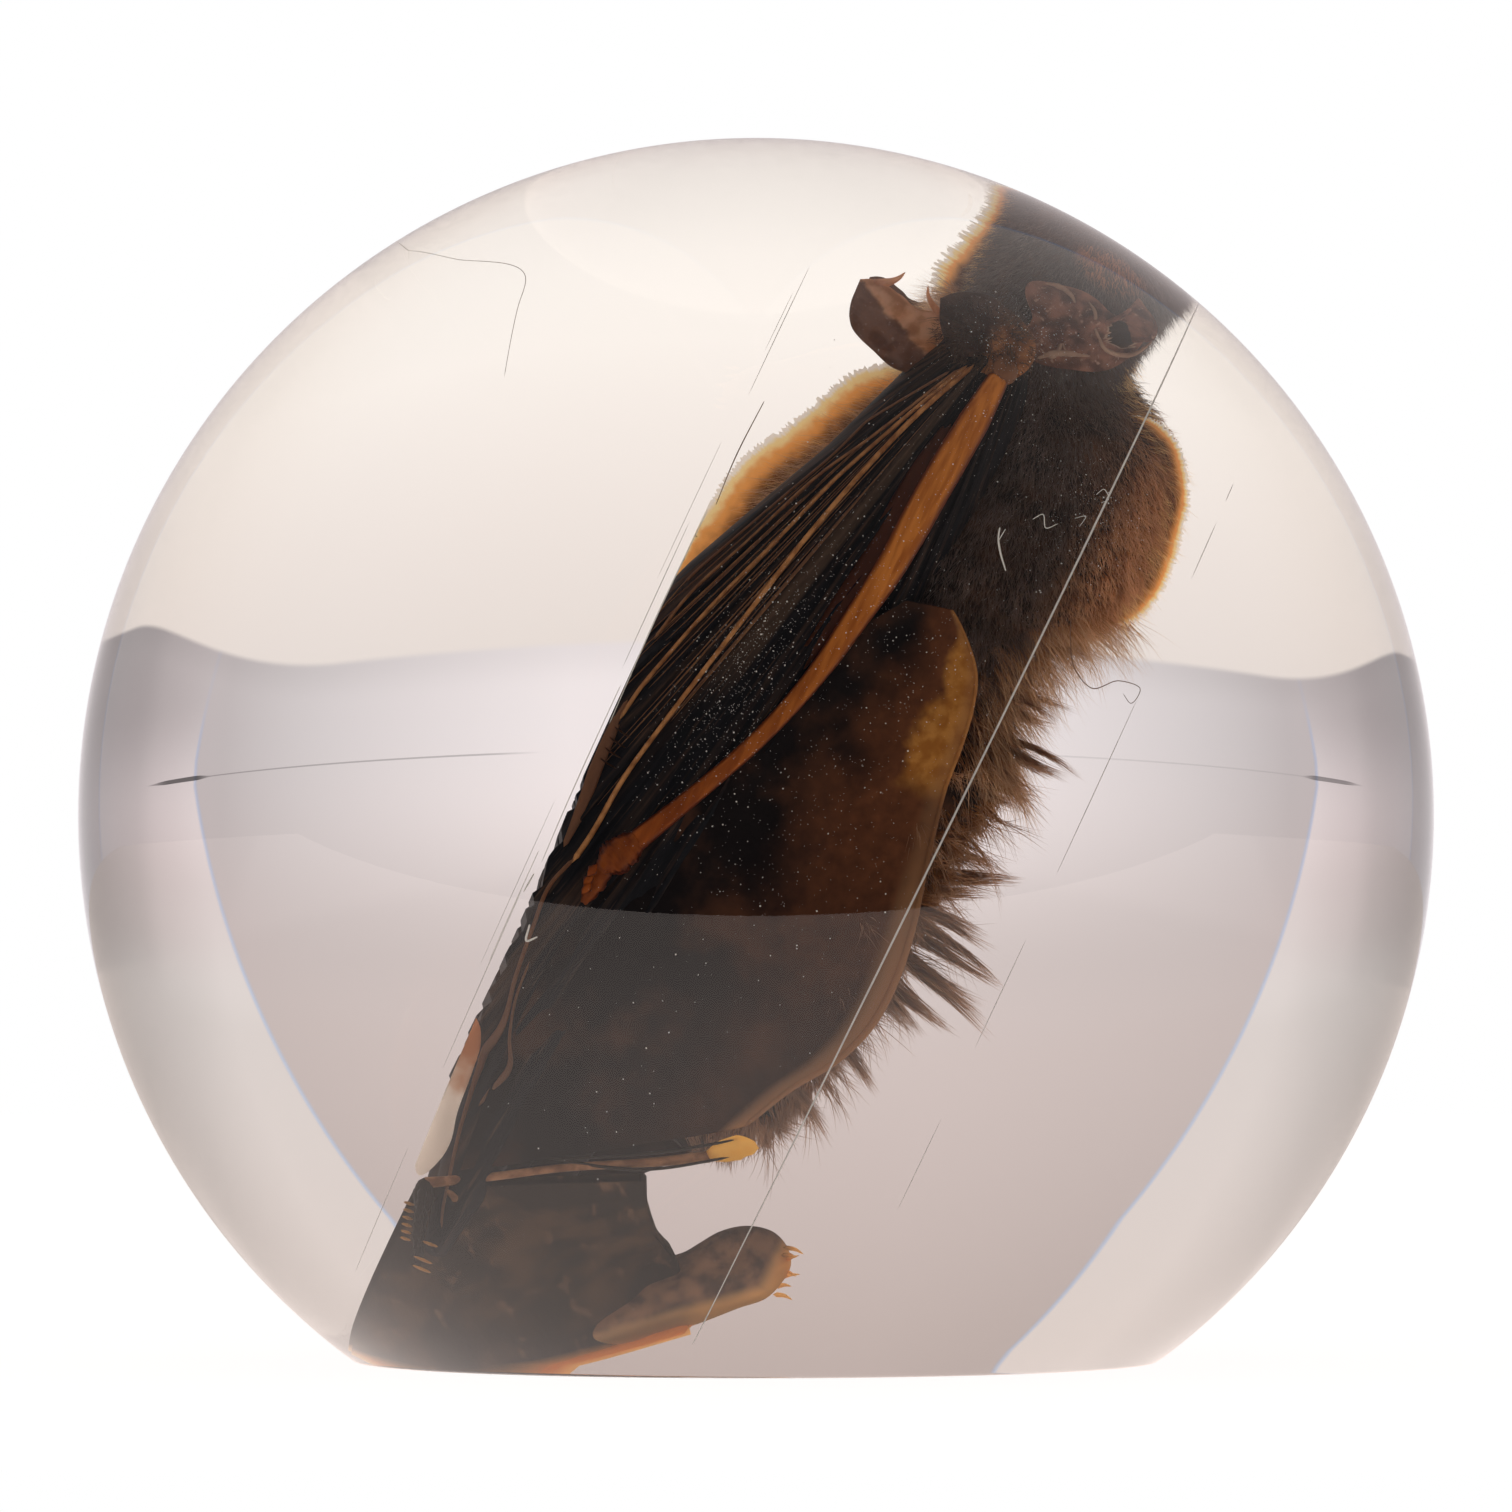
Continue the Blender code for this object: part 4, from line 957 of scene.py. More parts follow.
def make_thumbs():
    wrists = Form()
    wrists.pad(WRIST, WRIST_SIDE, 0.95, 12, 110, 0.3, 43, (0.6, 27.0))
    wrists.mirror()
    wrists.piece("wrists", wrist_material())
    fuzz = Form()
    count, hairs = 420, 4
    turn, off = RNG.uniform(0.0, 2.0 * math.pi, count), np.sqrt(RNG.uniform(0.0, 1.0, count))
    out = np.stack((off * np.cos(turn), -np.sqrt(1.0 - 0.9 * off ** 2), off * np.sin(turn)), -1)
    root = np.array((0.5, WRIST_SIDE, 27.1)) + out * np.array((2.6, 0.85, 2.4))
    tip = root + (out + RNG.normal(size=(count, 3)) * 0.5) * 0.65
    each = np.repeat(np.arange(count), hairs)
    lock_strands(fuzz, root[each], ((root + tip) / 2.0)[each], tip[each], 0.22, 0.04, 0.2, 2)
    fuzz.mirror()
    fuzz.piece("fur_wrists", fur_material("wrist_fur", *WRIST_HAIR))
    form = Form()
    form.pad(THUMB, THUMB_SIDE, 1.0, 12, 130, 0.28, 41, THUMB_MIDDLE)
    for claw, radii in THUMB_CLAWS:
        form.tube([(x, THUMB_SIDE, z) for x, z in claw], radii, 10, 24)
    form.piece("thumb", thumb_material())
    far = Form()
    outline = (np.array(THUMB) - THUMB_MIDDLE) * FAR_THUMB_SHARE + FAR_THUMB_MIDDLE
    far.pad(outline, FAR_THUMB_SIDE, FAR_THUMB_SHARE, 10, 90, 0.2, 42)
    far.piece("far_thumb", thumb_material())


# Flank and tail skins

FLANK_INNER = ((2.3, -8.9, 12.4), (0.3, -9.4, 9.4), (-1.0, -9.6, 5.8), (-3.1, -9.6, 0.4), (-5.2, -9.0, -5.0),
               (-6.2, -8.4, -12.0), (-6.3, -7.8, -17.0), (-6.0, -7.0, -22.0))
FLANK_EDGE = ((4.6, -8.3, 12.9), (5.75, -7.8, 11.8), (6.8, -7.3, 10.4), (7.25, -7.0, 8.9), (7.5, -6.8, 6.9),
              (7.6, -6.5, 4.9), (8.0, -6.2, 2.5), (8.4, -6.0, 0.5), (8.9, -5.8, -1.8), (9.2, -5.6, -4.7),
              (9.0, -5.4, -6.9), (8.3, -5.3, -8.8), (6.8, -5.2, -11.1), (5.6, -5.3, -13.6))

FAR_FLANK_SHORTER = 2.6


def skin_grid(inner, edge, rows, columns):
    """Points and marks of a skin held between two lines."""
    first, _ = smooth_line(inner, rows)
    last, _ = smooth_line(edge, rows)
    share = np.linspace(0.0, 1.0, columns)[None, :, None]
    points = first[:, None] * (1.0 - share) + last[:, None] * share
    along = np.linspace(0.0, 1.0, rows)[:, None]
    return points, np.stack(np.broadcast_arrays(share[:, :, 0], along), axis=-1)


def flank_material():
    """Thin skin over the flank: black by the arm, khaki amber where it lies over pale flesh."""
    shade = new_shade("flank_skin")
    mark = shade.marks()
    place = shade.place()
    tall = shade.parts(place)[2]
    haze = shade.noise(place, 0.3, 4.0)
    grain = shade.noise(place, 1.6, 5.0)
    bend = shade.plus(mark[0], shade.times(shade.minus(haze, 0.5), 0.5))
    upper = shade.span(tall, 3.6, 5.4)
    brown = shade.times(shade.span(bend, 0.34, 0.78), shade.span(tall, -9.0, 3.0, 0.3, 1.0))
    colour = shade.fade(haze, 0.45, 0.75, (0.006, 0.004, 0.004), (0.05, 0.02, 0.01))
    colour = shade.blend(brown, colour, shade.blend(grain, (0.035, 0.011, 0.005), (0.14, 0.048, 0.018)))
    near = shade.minus(bend, shade.span(tall, 12.9, 10.0, 0.97, 0.76))
    khaki = shade.times(shade.span(near, -0.02, 0.08), upper)
    amber = shade.fade(grain, 0.35, 0.65, (0.3, 0.11, 0.018), (0.46, 0.2, 0.045))
    colour = shade.blend(khaki, colour, amber)
    rim = shade.times(shade.span(mark[0], 0.9, 0.985), shade.span(tall, 2.0, -4.0, 0.35, 1.0))
    colour = shade.blend(rim, colour, (0.34, 0.18, 0.09))
    share = shade.plus(shade.times(khaki, 0.15), shade.times(rim, 0.3))
    return shade.surface(colour, 0.5, grain, 0.05, (0.75, 0.36, 0.12), share)


def make_flanks():
    form = Form()
    points, marks = skin_grid(FLANK_INNER, FLANK_EDGE, 90, 44)
    relief = lumps(points * np.array((1.0, 0.4, 0.5)), 3.2, 11) * 0.16 + lumps(points, 1.1, 12) * 0.04
    points[..., 1] += relief * np.sin(marks[..., 0] * math.pi) ** 0.5
    form.grid(points, marks)
    inner = points.copy()
    inner[..., 1] += 0.35
    inner[:, 0] = points[:, 0]
    inner[:, -1] = points[:, -1]
    form.grid(inner[:, ::-1], marks[:, ::-1])
    form.tube(FLANK_EDGE, (0.05, 0.1, 0.1, 0.12, 0.16, 0.18, 0.14, 0.1), 8, 70, tone=1.0)
    form.mirror()
    form.points[-1][:, 0] -= FAR_FLANK_SHORTER * form.marks[-1][:, 0]
    form.piece("flank_skins", flank_material())


TAIL_NEAR = ((2.2, -5.6, -17.8), (-2.4, -5.9, -20.3), (-7.7, -6.3, -23.4))
TAIL_FAR = ((6.4, 6.2, -21.0), (0.6, 6.6, -26.2), (-7.3, 6.9, -31.6))
# Its free edge, between the near shin and the far foot
TAIL_SIDE = ((2.2, -5.6, -17.8), (2.5, -4.0, -18.25), (2.8, -2.0, -18.5), (3.25, 0.0, -18.7),
             (3.85, 2.5, -18.7), (4.5, 4.8, -18.6), (6.4, 6.2, -21.0))


def tail_material():
    shade = new_shade("tail_skin")
    mark = shade.marks()
    place = shade.place()
    haze = shade.noise(place, 0.35, 4.0)
    veins = shade.noise(shade.space("MULTIPLY", place, {1: (1.0, 0.25, 1.6)}), 0.9, 4.0)
    colour = shade.fade(haze, 0.4, 0.7, (0.02, 0.012, 0.008), (0.07, 0.036, 0.018))
    colour = shade.blend(shade.span(veins, 0.58, 0.75, 0.0, 0.6), colour, (0.17, 0.085, 0.045))
    # painted glow: the skin's far edge is painted bright orange, with light through it as well
    rim = shade.span(mark[0], 0.94, 1.0)
    colour = shade.blend(rim, colour, (0.7, 0.38, 0.12))
    return shade.surface(colour, 0.5, veins, 0.05, (1.0, 0.62, 0.22), shade.times(rim, 0.7))


def make_tail_skin():
    form = Form()
    points, marks = skin_grid(TAIL_NEAR, TAIL_FAR, 60, 80)
    side, _ = smooth_line(TAIL_SIDE, 80)
    points += (side - points[0])[None] * (1.0 - marks[:, :1, 1:]) ** 1.6
    hollow = np.sin(marks[..., 0] * math.pi)
    points[..., 2] += hollow * 0.9 * marks[..., 1]
    points[..., 2] += lumps(points, 4.0, 21) * 0.12 * hollow
    form.grid(points, marks)
    below = points + np.array((0.25, 0.0, -0.3))
    form.grid(below[:, ::-1], marks[:, ::-1])
    form.tube(points[0, :, :][::8], (0.16, 0.16), 8, 40, tone=0.5)
    form.tube(points[:, -1, :][::6], (0.3, 0.26), 8, 60, tone=1.0)
    form.piece("tail_skin", tail_material())


def leg_material():
    """Shin and toes: tan bone, a painted yellow highlight at the knee, with a dark outline of dried skin."""
    shade = new_shade("leg_bone")
    mark = shade.marks()
    grain = shade.noise(shade.place(), 1.5, 4.0)
    colour = shade.fade(grain, 0.35, 0.7, (0.16, 0.06, 0.025), (0.42, 0.2, 0.1))
    # painted highlight: the knee is painted bright yellow, with light through it as well
    painted_knee_highlight = shade.span(mark[0], 0.8, 1.0)
    colour = shade.blend(painted_knee_highlight, colour, shade.fade(grain, 0.4, 0.6, (0.8, 0.42, 0.08), (1.0, 0.8, 0.35)))
    dark = shade.span(mark[0], 1.4, 1.6)
    colour = shade.blend(dark, colour, (0.02, 0.012, 0.008))
    share = shade.times(shade.span(mark[0], 0.3, 1.0, 0.15, 0.9), shade.minus(1.0, dark))
    return shade.surface(colour, 0.4, grain, 0.04, (1.0, 0.72, 0.3), share, 0.1)


def foot(form, sole, reach, spread, size):
    """A sole with five ridged toes and dark claws, in the directions given."""
    sole, reach, spread = (np.asarray(part, float) for part in (sole, reach, spread))
    radii = size * np.array((0.4, 0.75, 0.5))
    form.tube((sole - reach * 0.8, sole, sole + reach * 0.9), radii, 12, 18, rough=0.08, tone=TOE_TONE)
    for index in range(5):
        step = spread * (0.42 * (index - 2))
        start = sole + step
        bend = start + reach * 2.0 + step * 0.35
        tip = start + reach * (3.6 - 0.18 * abs(index - 2)) + step * 0.6
        ridges = [0.17 + 0.11 * (place % 2) for place in range(11)]
        form.tube((start, bend, tip), ridges, 8, 44, tone=TOE_TONE)
        claw = tip + reach * 0.8 + np.array((-0.25, 0.0, 0.0))
        form.tube((tip - reach * 0.1, tip + reach * 0.5, claw), (0.15, 0.12, 0.03), 6, 10, tone=DARK_TONE)


# Outline of the far leg and foot, which the tail's skin joins: x and z
FAR_FOOT = ((4.35, -18.5), (4.9, -18.0), (5.3, -17.4), (5.9, -16.55), (7.1, -15.75), (8.0, -15.65),
            (8.75, -16.0), (9.2, -16.6), (9.2, -17.5), (8.95, -18.3), (8.0, -19.3), (6.7, -20.7),
            (5.4, -21.9), (4.1, -23.1), (2.6, -23.6), (2.4, -21.4), (3.6, -19.4))


KNEE = ((6.5, -5.3, -14.35), (5.95, -5.5, -14.6), (5.3, -5.6, -15.1), (4.6, -5.7, -15.75))
SHIN = ((4.9, -5.6, -15.6), (2.6, -5.8, -17.0), (-1.5, -6.1, -19.4), (-4.4, -6.3, -21.4), (-7.5, -6.5, -23.5))
HEEL = ((-6.2, -6.4, -23.2), (-5.5, -6.5, -23.5), (-5.1, -6.4, -23.8))
FAR_LEG = ((0.5, 5.0, -11.0), (-1.6, 6.4, -17.0), (-1.0, 6.6, -20.6), (3.4, 6.4, -21.4))


def make_legs():
    form = Form()
    form.tube(KNEE, (0.3, 0.62, 0.55, 0.24), 14, 30, tone=KNEE_TONE)
    form.tube(SHIN, (0.3, 0.22, 0.2, 0.22, 0.3), 10, 70)
    for lift, low in ((0.45, -1.6), (-0.5, -4.4)):
        form.tube(((5.6, -6.0, -14.9 + lift), (2.6, -6.05, -16.95 + lift), (low, -6.35, -19.4 + lift * 0.9)),
                  (0.07, 0.1, 0.04), 6, 30, tone=DARK_TONE)
    foot(form, (-7.2, -6.4, -24.0), (0.22, 0.1, -0.95), (0.25, 1.0, 0.0), 0.8)
    ridges = [(-7.75 + 0.09 * index, -25.0 - 0.42 * index, 0.26) for index in range(6)]
    for x, z, half in ridges + [(-6.0, -26.65, 0.4), (-6.05, -27.8, 0.5), (-5.95, -28.4, 0.5)]:
        place = np.array((x, -6.75, z))
        end = (half, 0.0, 0.06)
        form.tube((place - end, place, place + end), (0.06, 0.11, 0.06), 6, 12, tone=0.6)
    form.tube(HEEL, (0.12, 0.25, 0.12), 10, 14, rough=0.1, tone=0.5)
    form.tube(FAR_LEG, (1.5, 1.1, 0.9, 0.9), 12, 30, tone=DARK_TONE)
    form.piece("near_leg", leg_material())
    far = Form()
    far.pad(FAR_FOOT, 6.2, 1.15, 12, 110, 0.2, 51, (5.2, -20.0))
    for index in range(7):
        root = np.array((8.7 + 0.06 * index, 5.6 + 0.2 * index, -16.2 - 0.3 * index))
        tip = root + np.array((0.75 + RNG.uniform(-0.2, 0.2), 0.0, 0.35 + RNG.uniform(-0.3, 0.3)))
        middle = (root + tip) / 2.0 + (0.0, 0.0, 0.08)
        far.tube((root, middle, tip), (0.12, 0.09, 0.02), 6, 10, tone=DARK_TONE)
    shade = new_shade("far_foot_skin")
    mark = shade.marks()
    place = shade.place()
    grain = shade.noise(place, 0.8, 4.0)
    colour = shade.fade(grain, 0.35, 0.65, (0.08, 0.042, 0.026), (0.3, 0.15, 0.08))
    split = shade.parts(place)
    # painted glow: the foot's lower end and its toe end are painted bright orange, with light through them as
    # well
    low = shade.span(shade.plus(split[2], shade.times(split[0], -0.93)), -25.8, -26.7)
    ends = shade.math("MAXIMUM", low, shade.span(split[0], 8.2, 9.1))
    colour = shade.blend(ends, colour, (0.9, 0.5, 0.22))
    colour = shade.fade(mark[0], 1.4, 1.6, colour, (0.02, 0.012, 0.008))
    skin = shade.surface(colour, 0.5, grain, 0.06, (1.0, 0.7, 0.35), shade.times(ends, 0.85))
    far.piece("far_foot", skin)


# Head

EAR_LINE = ((6.0, -1.3, 29.0), (6.8, -1.9, 30.4), (7.2, -2.1, 31.6), (7.1, -2.0, 32.7))
EAR_WIDTHS = (1.0, 1.3, 1.0, 0.3)
# Bare, wrinkled skin round each ear: middle x and z, half sizes, and the head's middle side
EAR_MIDDLE = (4.7, 28.7)
EAR_REACH = (3.3, 2.5)
EAR_SHIFT = 3.0
# The ear's mouth, sunk in and painted near black as painted shade: middle x and z, half sizes
EAR_MOUTH = (6.7, 29.6)
EAR_MOUTH_REACH = (0.8, 1.35)


def ear_material():
    shade = new_shade("ear_skin")
    mark = shade.marks()
    place = shade.place()
    mottle = shade.noise(place, 0.9, 4.0)
    colour = shade.fade(mottle, 0.35, 0.65, (0.06, 0.022, 0.016), (0.3, 0.13, 0.085))
    speck = shade.span(shade.noise(place, 2.6, 3.0), 0.6, 0.7)
    colour = shade.blend(speck, colour, (0.42, 0.24, 0.17))
    # pale ridges: partly a painted highlight on the ear's rims and the lip's folds
    ridge = shade.blend(mottle, (0.15, 0.07, 0.045), (0.6, 0.4, 0.28))
    colour = shade.fade(mark[0], 1.4, 1.6, colour, ridge)
    # near black: the eyes, and painted shade in the ear's mouth, the nostrils and the mouth's line
    colour = shade.fade(mark[0], 2.4, 2.6, colour, (0.012, 0.01, 0.009))
    return shade.surface(colour, 0.5, mottle, 0.1, (0.8, 0.4, 0.2), 0.2)


def ear(form, far):
    rows, columns = 40, 30
    line, share = smooth_line(EAR_LINE, rows)
    width = np.interp(share, np.linspace(0.0, 1.0, 4), EAR_WIDTHS)
    width = width * (1.0 - np.clip((share - 0.8) / 0.2, 0.0, 1.0) ** 2 * 0.6)
    across = np.linspace(-1.0, 1.0, columns)
    turn = math.radians(28.0)
    wide = np.array((math.cos(turn), math.sin(turn), 0.0))
    deep = np.array((-math.sin(turn), math.cos(turn), 0.15))
    points = line[:, None] + wide * (across[None, :, None] * width[:, None, None])
    cup = (across ** 2)[None, :] * (width * 0.55)[:, None]
    points = points - deep * cup[..., None]
    points += deep * (0.12 * np.sin(share[:, None] * 26.0) * (1.0 - across ** 2)[None, :])[..., None]
    back = points + deep * 0.22
    points, back = on_side(points, far), on_side(back, far)
    marks = np.stack(np.broadcast_arrays(share[:, None], across[None, :] * 0.5 + 0.5), axis=-1)
    form.grid(points, marks)
    form.grid(back[:, ::-1], marks[:, ::-1])
    for rim in (points[:, 0], points[:, -1]):
        form.tube(rim[::4], (0.14, 0.16, 0.13, 0.08), 7, 40, tone=1.1)


def on_side(points, far):
    """Points of the head's near side, or their mirror image on its far side."""
    placed = np.array(points, float)
    if far:
        placed[..., 1] = 2.0 * EAR_SHIFT - placed[..., 1]
    return placed


# Ridges on the near side of the face: rims of the ear's mouth and folds of the lip, whose pale colour is
# partly a painted highlight
FACE_RIDGES = (
    (((2.2, 30.6), (2.52, 30.79), (3.11, 30.91), (3.67, 30.73), (3.98, 30.37)), 0.2),
    (((5.08, 29.7), (5.59, 28.94), (6.05, 28.29), (6.98, 28.0), (7.58, 28.26), (8.02, 29.19)), 0.15),
    (((3.24, 26.89), (3.58, 26.7), (3.91, 26.69), (4.09, 27.14), (4.08, 27.69), (4.41, 27.35)), 0.12),
    (((3.3, 26.3), (3.9, 26.9), (4.8, 27.3), (5.6, 27.5)), 0.2),
    (((4.6, 30.9), (5.0, 30.5), (5.2, 30.0), (5.1, 29.5)), 0.12),
)


EYE = ((0.4, 1.9, 34.6), (0.2, 1.75, 34.9), (0.0, 1.65, 35.2))
NOSTRIL = ((1.0, 4.1, 38.5), (0.9, 4.0, 38.7), (0.8, 3.9, 38.8))
NOSE = ((1.8, 4.6, 37.8), (1.4, 4.6, 38.5), (0.9, 4.6, 39.0))
MOUTH = ((-0.6, 2.4, 36.4), (-0.9, 3.2, 37.5), (-0.6, 4.6, 38.3), (-0.9, 6.0, 37.5), (-0.6, 6.8, 36.4))


def make_head():
    form = Form()
    ear(form, False)
    ear(form, True)
    turns = np.linspace(0.0, 2.0 * math.pi, 60, endpoint=False)
    share, turn = np.meshgrid(np.linspace(0.02, 1.0, 16), turns, indexing="ij")
    wave = 1.0 + 0.14 * np.sin(3.0 * turn + 1.0) + 0.09 * np.sin(5.0 * turn)
    x = EAR_MIDDLE[0] + EAR_REACH[0] * share * wave * np.cos(turn)
    z = EAR_MIDDLE[1] + EAR_REACH[1] * share * wave * np.sin(turn)
    x = np.minimum(x, station(BODY, z)[0] + station(BODY, z)[2] * 0.86)
    patch = np.stack((x, head_side(x, z) - 0.35 * (1.0 - share ** 4), z), -1)
    patch[..., 1] += lumps(patch, 1.3, 61) * 0.3 * (1.0 - share ** 4)
    off_x, off_z = (x - EAR_MOUTH[0]) / EAR_MOUTH_REACH[0], (z - EAR_MOUTH[1]) / EAR_MOUTH_REACH[1]
    hole = np.exp(-off_x ** 4 - off_z ** 4)
    patch[..., 1] += hole * 0.8
    marks = np.stack((0.5 + 2.2 * (hole > 0.45), share), -1)
    form.grid(patch, marks, closed=True)
    form.grid(on_side(patch, True)[:, ::-1], marks[:, ::-1], closed=True)
    for ridge, radius in FACE_RIDGES:
        for far in (False, True):
            line = np.array([(x, float(head_side(x, z)) - 0.4, z) for x, z in ridge])
            sizes = (radius * 0.3, radius, radius * 0.9, radius * 0.3)
            form.tube(on_side(line, far), sizes, 8, 36, rough=0.15, tone=RIDGE_TONE)
    # the eyes are dark; the nostrils and the mouth are painted near black as painted shade in these holes
    for far in (False, True):
        form.tube(on_side(EYE, far), (0.25, 0.55, 0.25), 14, 12, tone=HOLE_TONE)
        form.tube(on_side(NOSTRIL, far), (0.15, 0.35, 0.2), 10, 10, tone=HOLE_TONE)
    form.tube(NOSE, (0.9, 1.1, 0.5), 14, 14, rough=0.04, tone=0.3)
    form.tube(MOUTH, (0.1, 0.22, 0.26, 0.22, 0.1), 8, 30, tone=HOLE_TONE)
    form.piece("face_and_ears", ear_material())


def head_side(x, z):
    """Depth of the head's near side at a place from belly to back and a height."""
    back, side, depth, width = station(BODY, z)
    off = np.clip((x - back) / depth, -0.97, 0.97)
    return side - width * np.sqrt(1.0 - off ** 2)


# What is cast in with the bat


def dust_and_painted_glint_material():
    # pale dust specks and fibres; the same pale colour makes the painted glint of the seam lines
    shade = new_shade("pale_dust_and_painted_glint")
    tint = shade.noise(shade.place(), 0.4, 2.0)
    colour = shade.blend(tint, (0.75, 0.74, 0.72), (0.95, 0.92, 0.86))
    return shade.surface(colour, 0.6, glow=(0.9, 0.88, 0.85), share=0.3)


# Clouds of dust specks in front of the bat: middle x and z, half sizes, count
DUST_CLOUDS = (
    ((-3.8, 6.0), (2.4, 6.5), 520),
    ((-1.0, 13.0), (4.5, 9.0), 330),
    ((5.0, 10.0), (6.0, 9.0), 260),
    ((9.5, 21.0), (2.6, 3.2), 220),
    ((2.5, 30.0), (3.2, 3.2), 260),
    ((2.0, -2.0), (7.0, 7.0), 170),
    ((3.0, 24.0), (5.5, 5.0), 200),
    ((0.0, -15.0), (8.0, 8.0), 60),
)


def make_dust():
    form = Form()
    corners = np.array(((1, 0, 0), (-1, 0, 0), (0, 1, 0), (0, -1, 0), (0, 0, 1), (0, 0, -1)), float)
    faces = ((0, 2, 4), (2, 1, 4), (1, 3, 4), (3, 0, 4), (2, 0, 5), (1, 2, 5), (3, 1, 5), (0, 3, 5))
    for (x, z), (half_x, half_z), count in DUST_CLOUDS:
        for _ in range(int(2.4 * count)):
            across, deep, up = RNG.normal(), RNG.uniform(-13.5, -10.6), RNG.normal()
            place = np.array((x + across * half_x * 0.6, deep, z + up * half_z * 0.6))
            size = 0.012 + 0.034 * RNG.uniform() ** 8
            shape = corners * size * RNG.uniform(0.6, 1.3, 3)
            form.add(place + shape, np.zeros((6, 2)), faces)
    form.piece("cast_dust", dust_and_painted_glint_material(), "resin", smooth=False)


# Loose bits and hairs in the resin: side, radius, then x and z along them
PALE_BITS = (
    (-11.6, 0.06, ((5.2, 18.25), (5.35, 17.7), (5.7, 17.1), (6.35, 16.3))),
    (-11.6, 0.03, ((5.5, 18.3), (5.45, 17.9), (5.4, 17.5))),
    (-12.0, 0.03, ((6.6, 19.5), (7.0, 20.0), (7.4, 19.4), (7.9, 19.9))),
    (-12.0, 0.025, ((9.2, 22.4), (9.5, 22.9), (9.9, 22.5), (9.6, 22.1))),
    (-12.0, 0.022, ((8.6, 20.6), (9.1, 21.0), (9.0, 20.3))),
    (-11.0, 0.07, ((-7.9, -9.6), (-7.7, -10.4), (-7.3, -10.0))),
    (-10.6, 0.05, ((-8.7, -7.2), (-8.8, -8.2))),
    (-9.9, 0.035, ((-8.35, 12.6), (-8.4, 8.0), (-8.3, 1.0))),
    (-10.2, 0.03, ((-8.6, 3.0), (-8.6, -3.0), (-8.55, -6.5))),
    (-10.0, 0.025, ((-8.9, -6.0), (-8.95, -12.0))),
)
DARK_HAIRS = (
    (-12.0, 0.03, ((10.4, 15.6), (10.8, 14.6), (11.5, 13.4), (12.8, 12.8), (14.0, 13.8), (15.2, 13.9),
                   (15.0, 13.0), (14.4, 13.3))),
    (-12.0, 0.024, ((-37.0, 24.4), (-30.0, 22.6), (-24.0, 21.8), (-23.2, 19.6), (-21.6, 15.4))),
    (-10.0, 0.035, ((-8.2, 19.0), (-8.25, 15.5), (-8.1, 13.0))),
)


def hair_material():
    shade = new_shade("loose_hair")
    tint = shade.noise(shade.place(), 0.8, 2.0)
    colour = shade.blend(tint, (0.12, 0.07, 0.05), (0.3, 0.2, 0.15))
    return shade.surface(colour, 0.6, glow=(0.5, 0.35, 0.25), share=0.3)


def make_fibres():
    for name, lines, material in (("cast_fibres", PALE_BITS, dust_and_painted_glint_material()),
                                  ("cast_hairs", DARK_HAIRS, hair_material())):
        form = Form()
        for side, radius, places in lines:
            form.tube([(x, side, z) for x, z in places], (radius * 0.7, radius, radius * 0.6), 6, 50)
        form.piece(name, material, "resin")


# Casting lines that show on the ball's front, drawn pale as a painted glint: tilt in degrees, distance right
# of the centre, radius, spans
SEAM_LINES = (
    (26.1, 11.3, 0.075, ((4.0, 168.0),)),
    (25.1, 18.8, 0.03, ((38.0, 41.0), (44.0, 52.0), (66.0, 84.0), (90.0, 101.0), (108.0, 118.0))),
    (24.4, -11.3, 0.028, ((40.0, 57.0), (70.0, 84.0), (104.0, 122.0), (131.0, 150.0))),
    (24.7, -11.7, 0.02, ((44.0, 52.0), (62.0, 76.0), (96.0, 112.0))),
)


def make_seam_lines():
    form = Form()
    for tilt, offset, radius, spans in SEAM_LINES:
        lean = math.radians(tilt)
        off = np.array((math.cos(lean), 0.0, -math.sin(lean))) * offset
        up = np.array((math.sin(lean), 0.0, math.cos(lean)))
        ring = math.sqrt((BALL_RADIUS - radius - 0.05) ** 2 - offset ** 2)
        for start, end in spans:
            turn = np.radians(np.linspace(start, end, 12))
            line = off + ring * (np.cos(turn)[:, None] * up - np.sin(turn)[:, None] * SIDEWAYS)
            line = line[line[:, 2] > 1.0 - CENTRE_HEIGHT]
            form.tube(line, (radius * 0.5, radius, radius, radius * 0.5), 6, max(int((end - start) * 1.2), 8))
    upright = Matrix.Translation(BAT_FRAME.translation)
    # the seam lines are pale: a painted glint along each seam
    form.piece("seam_lines", dust_and_painted_glint_material(), "resin", at=upright)


# Set


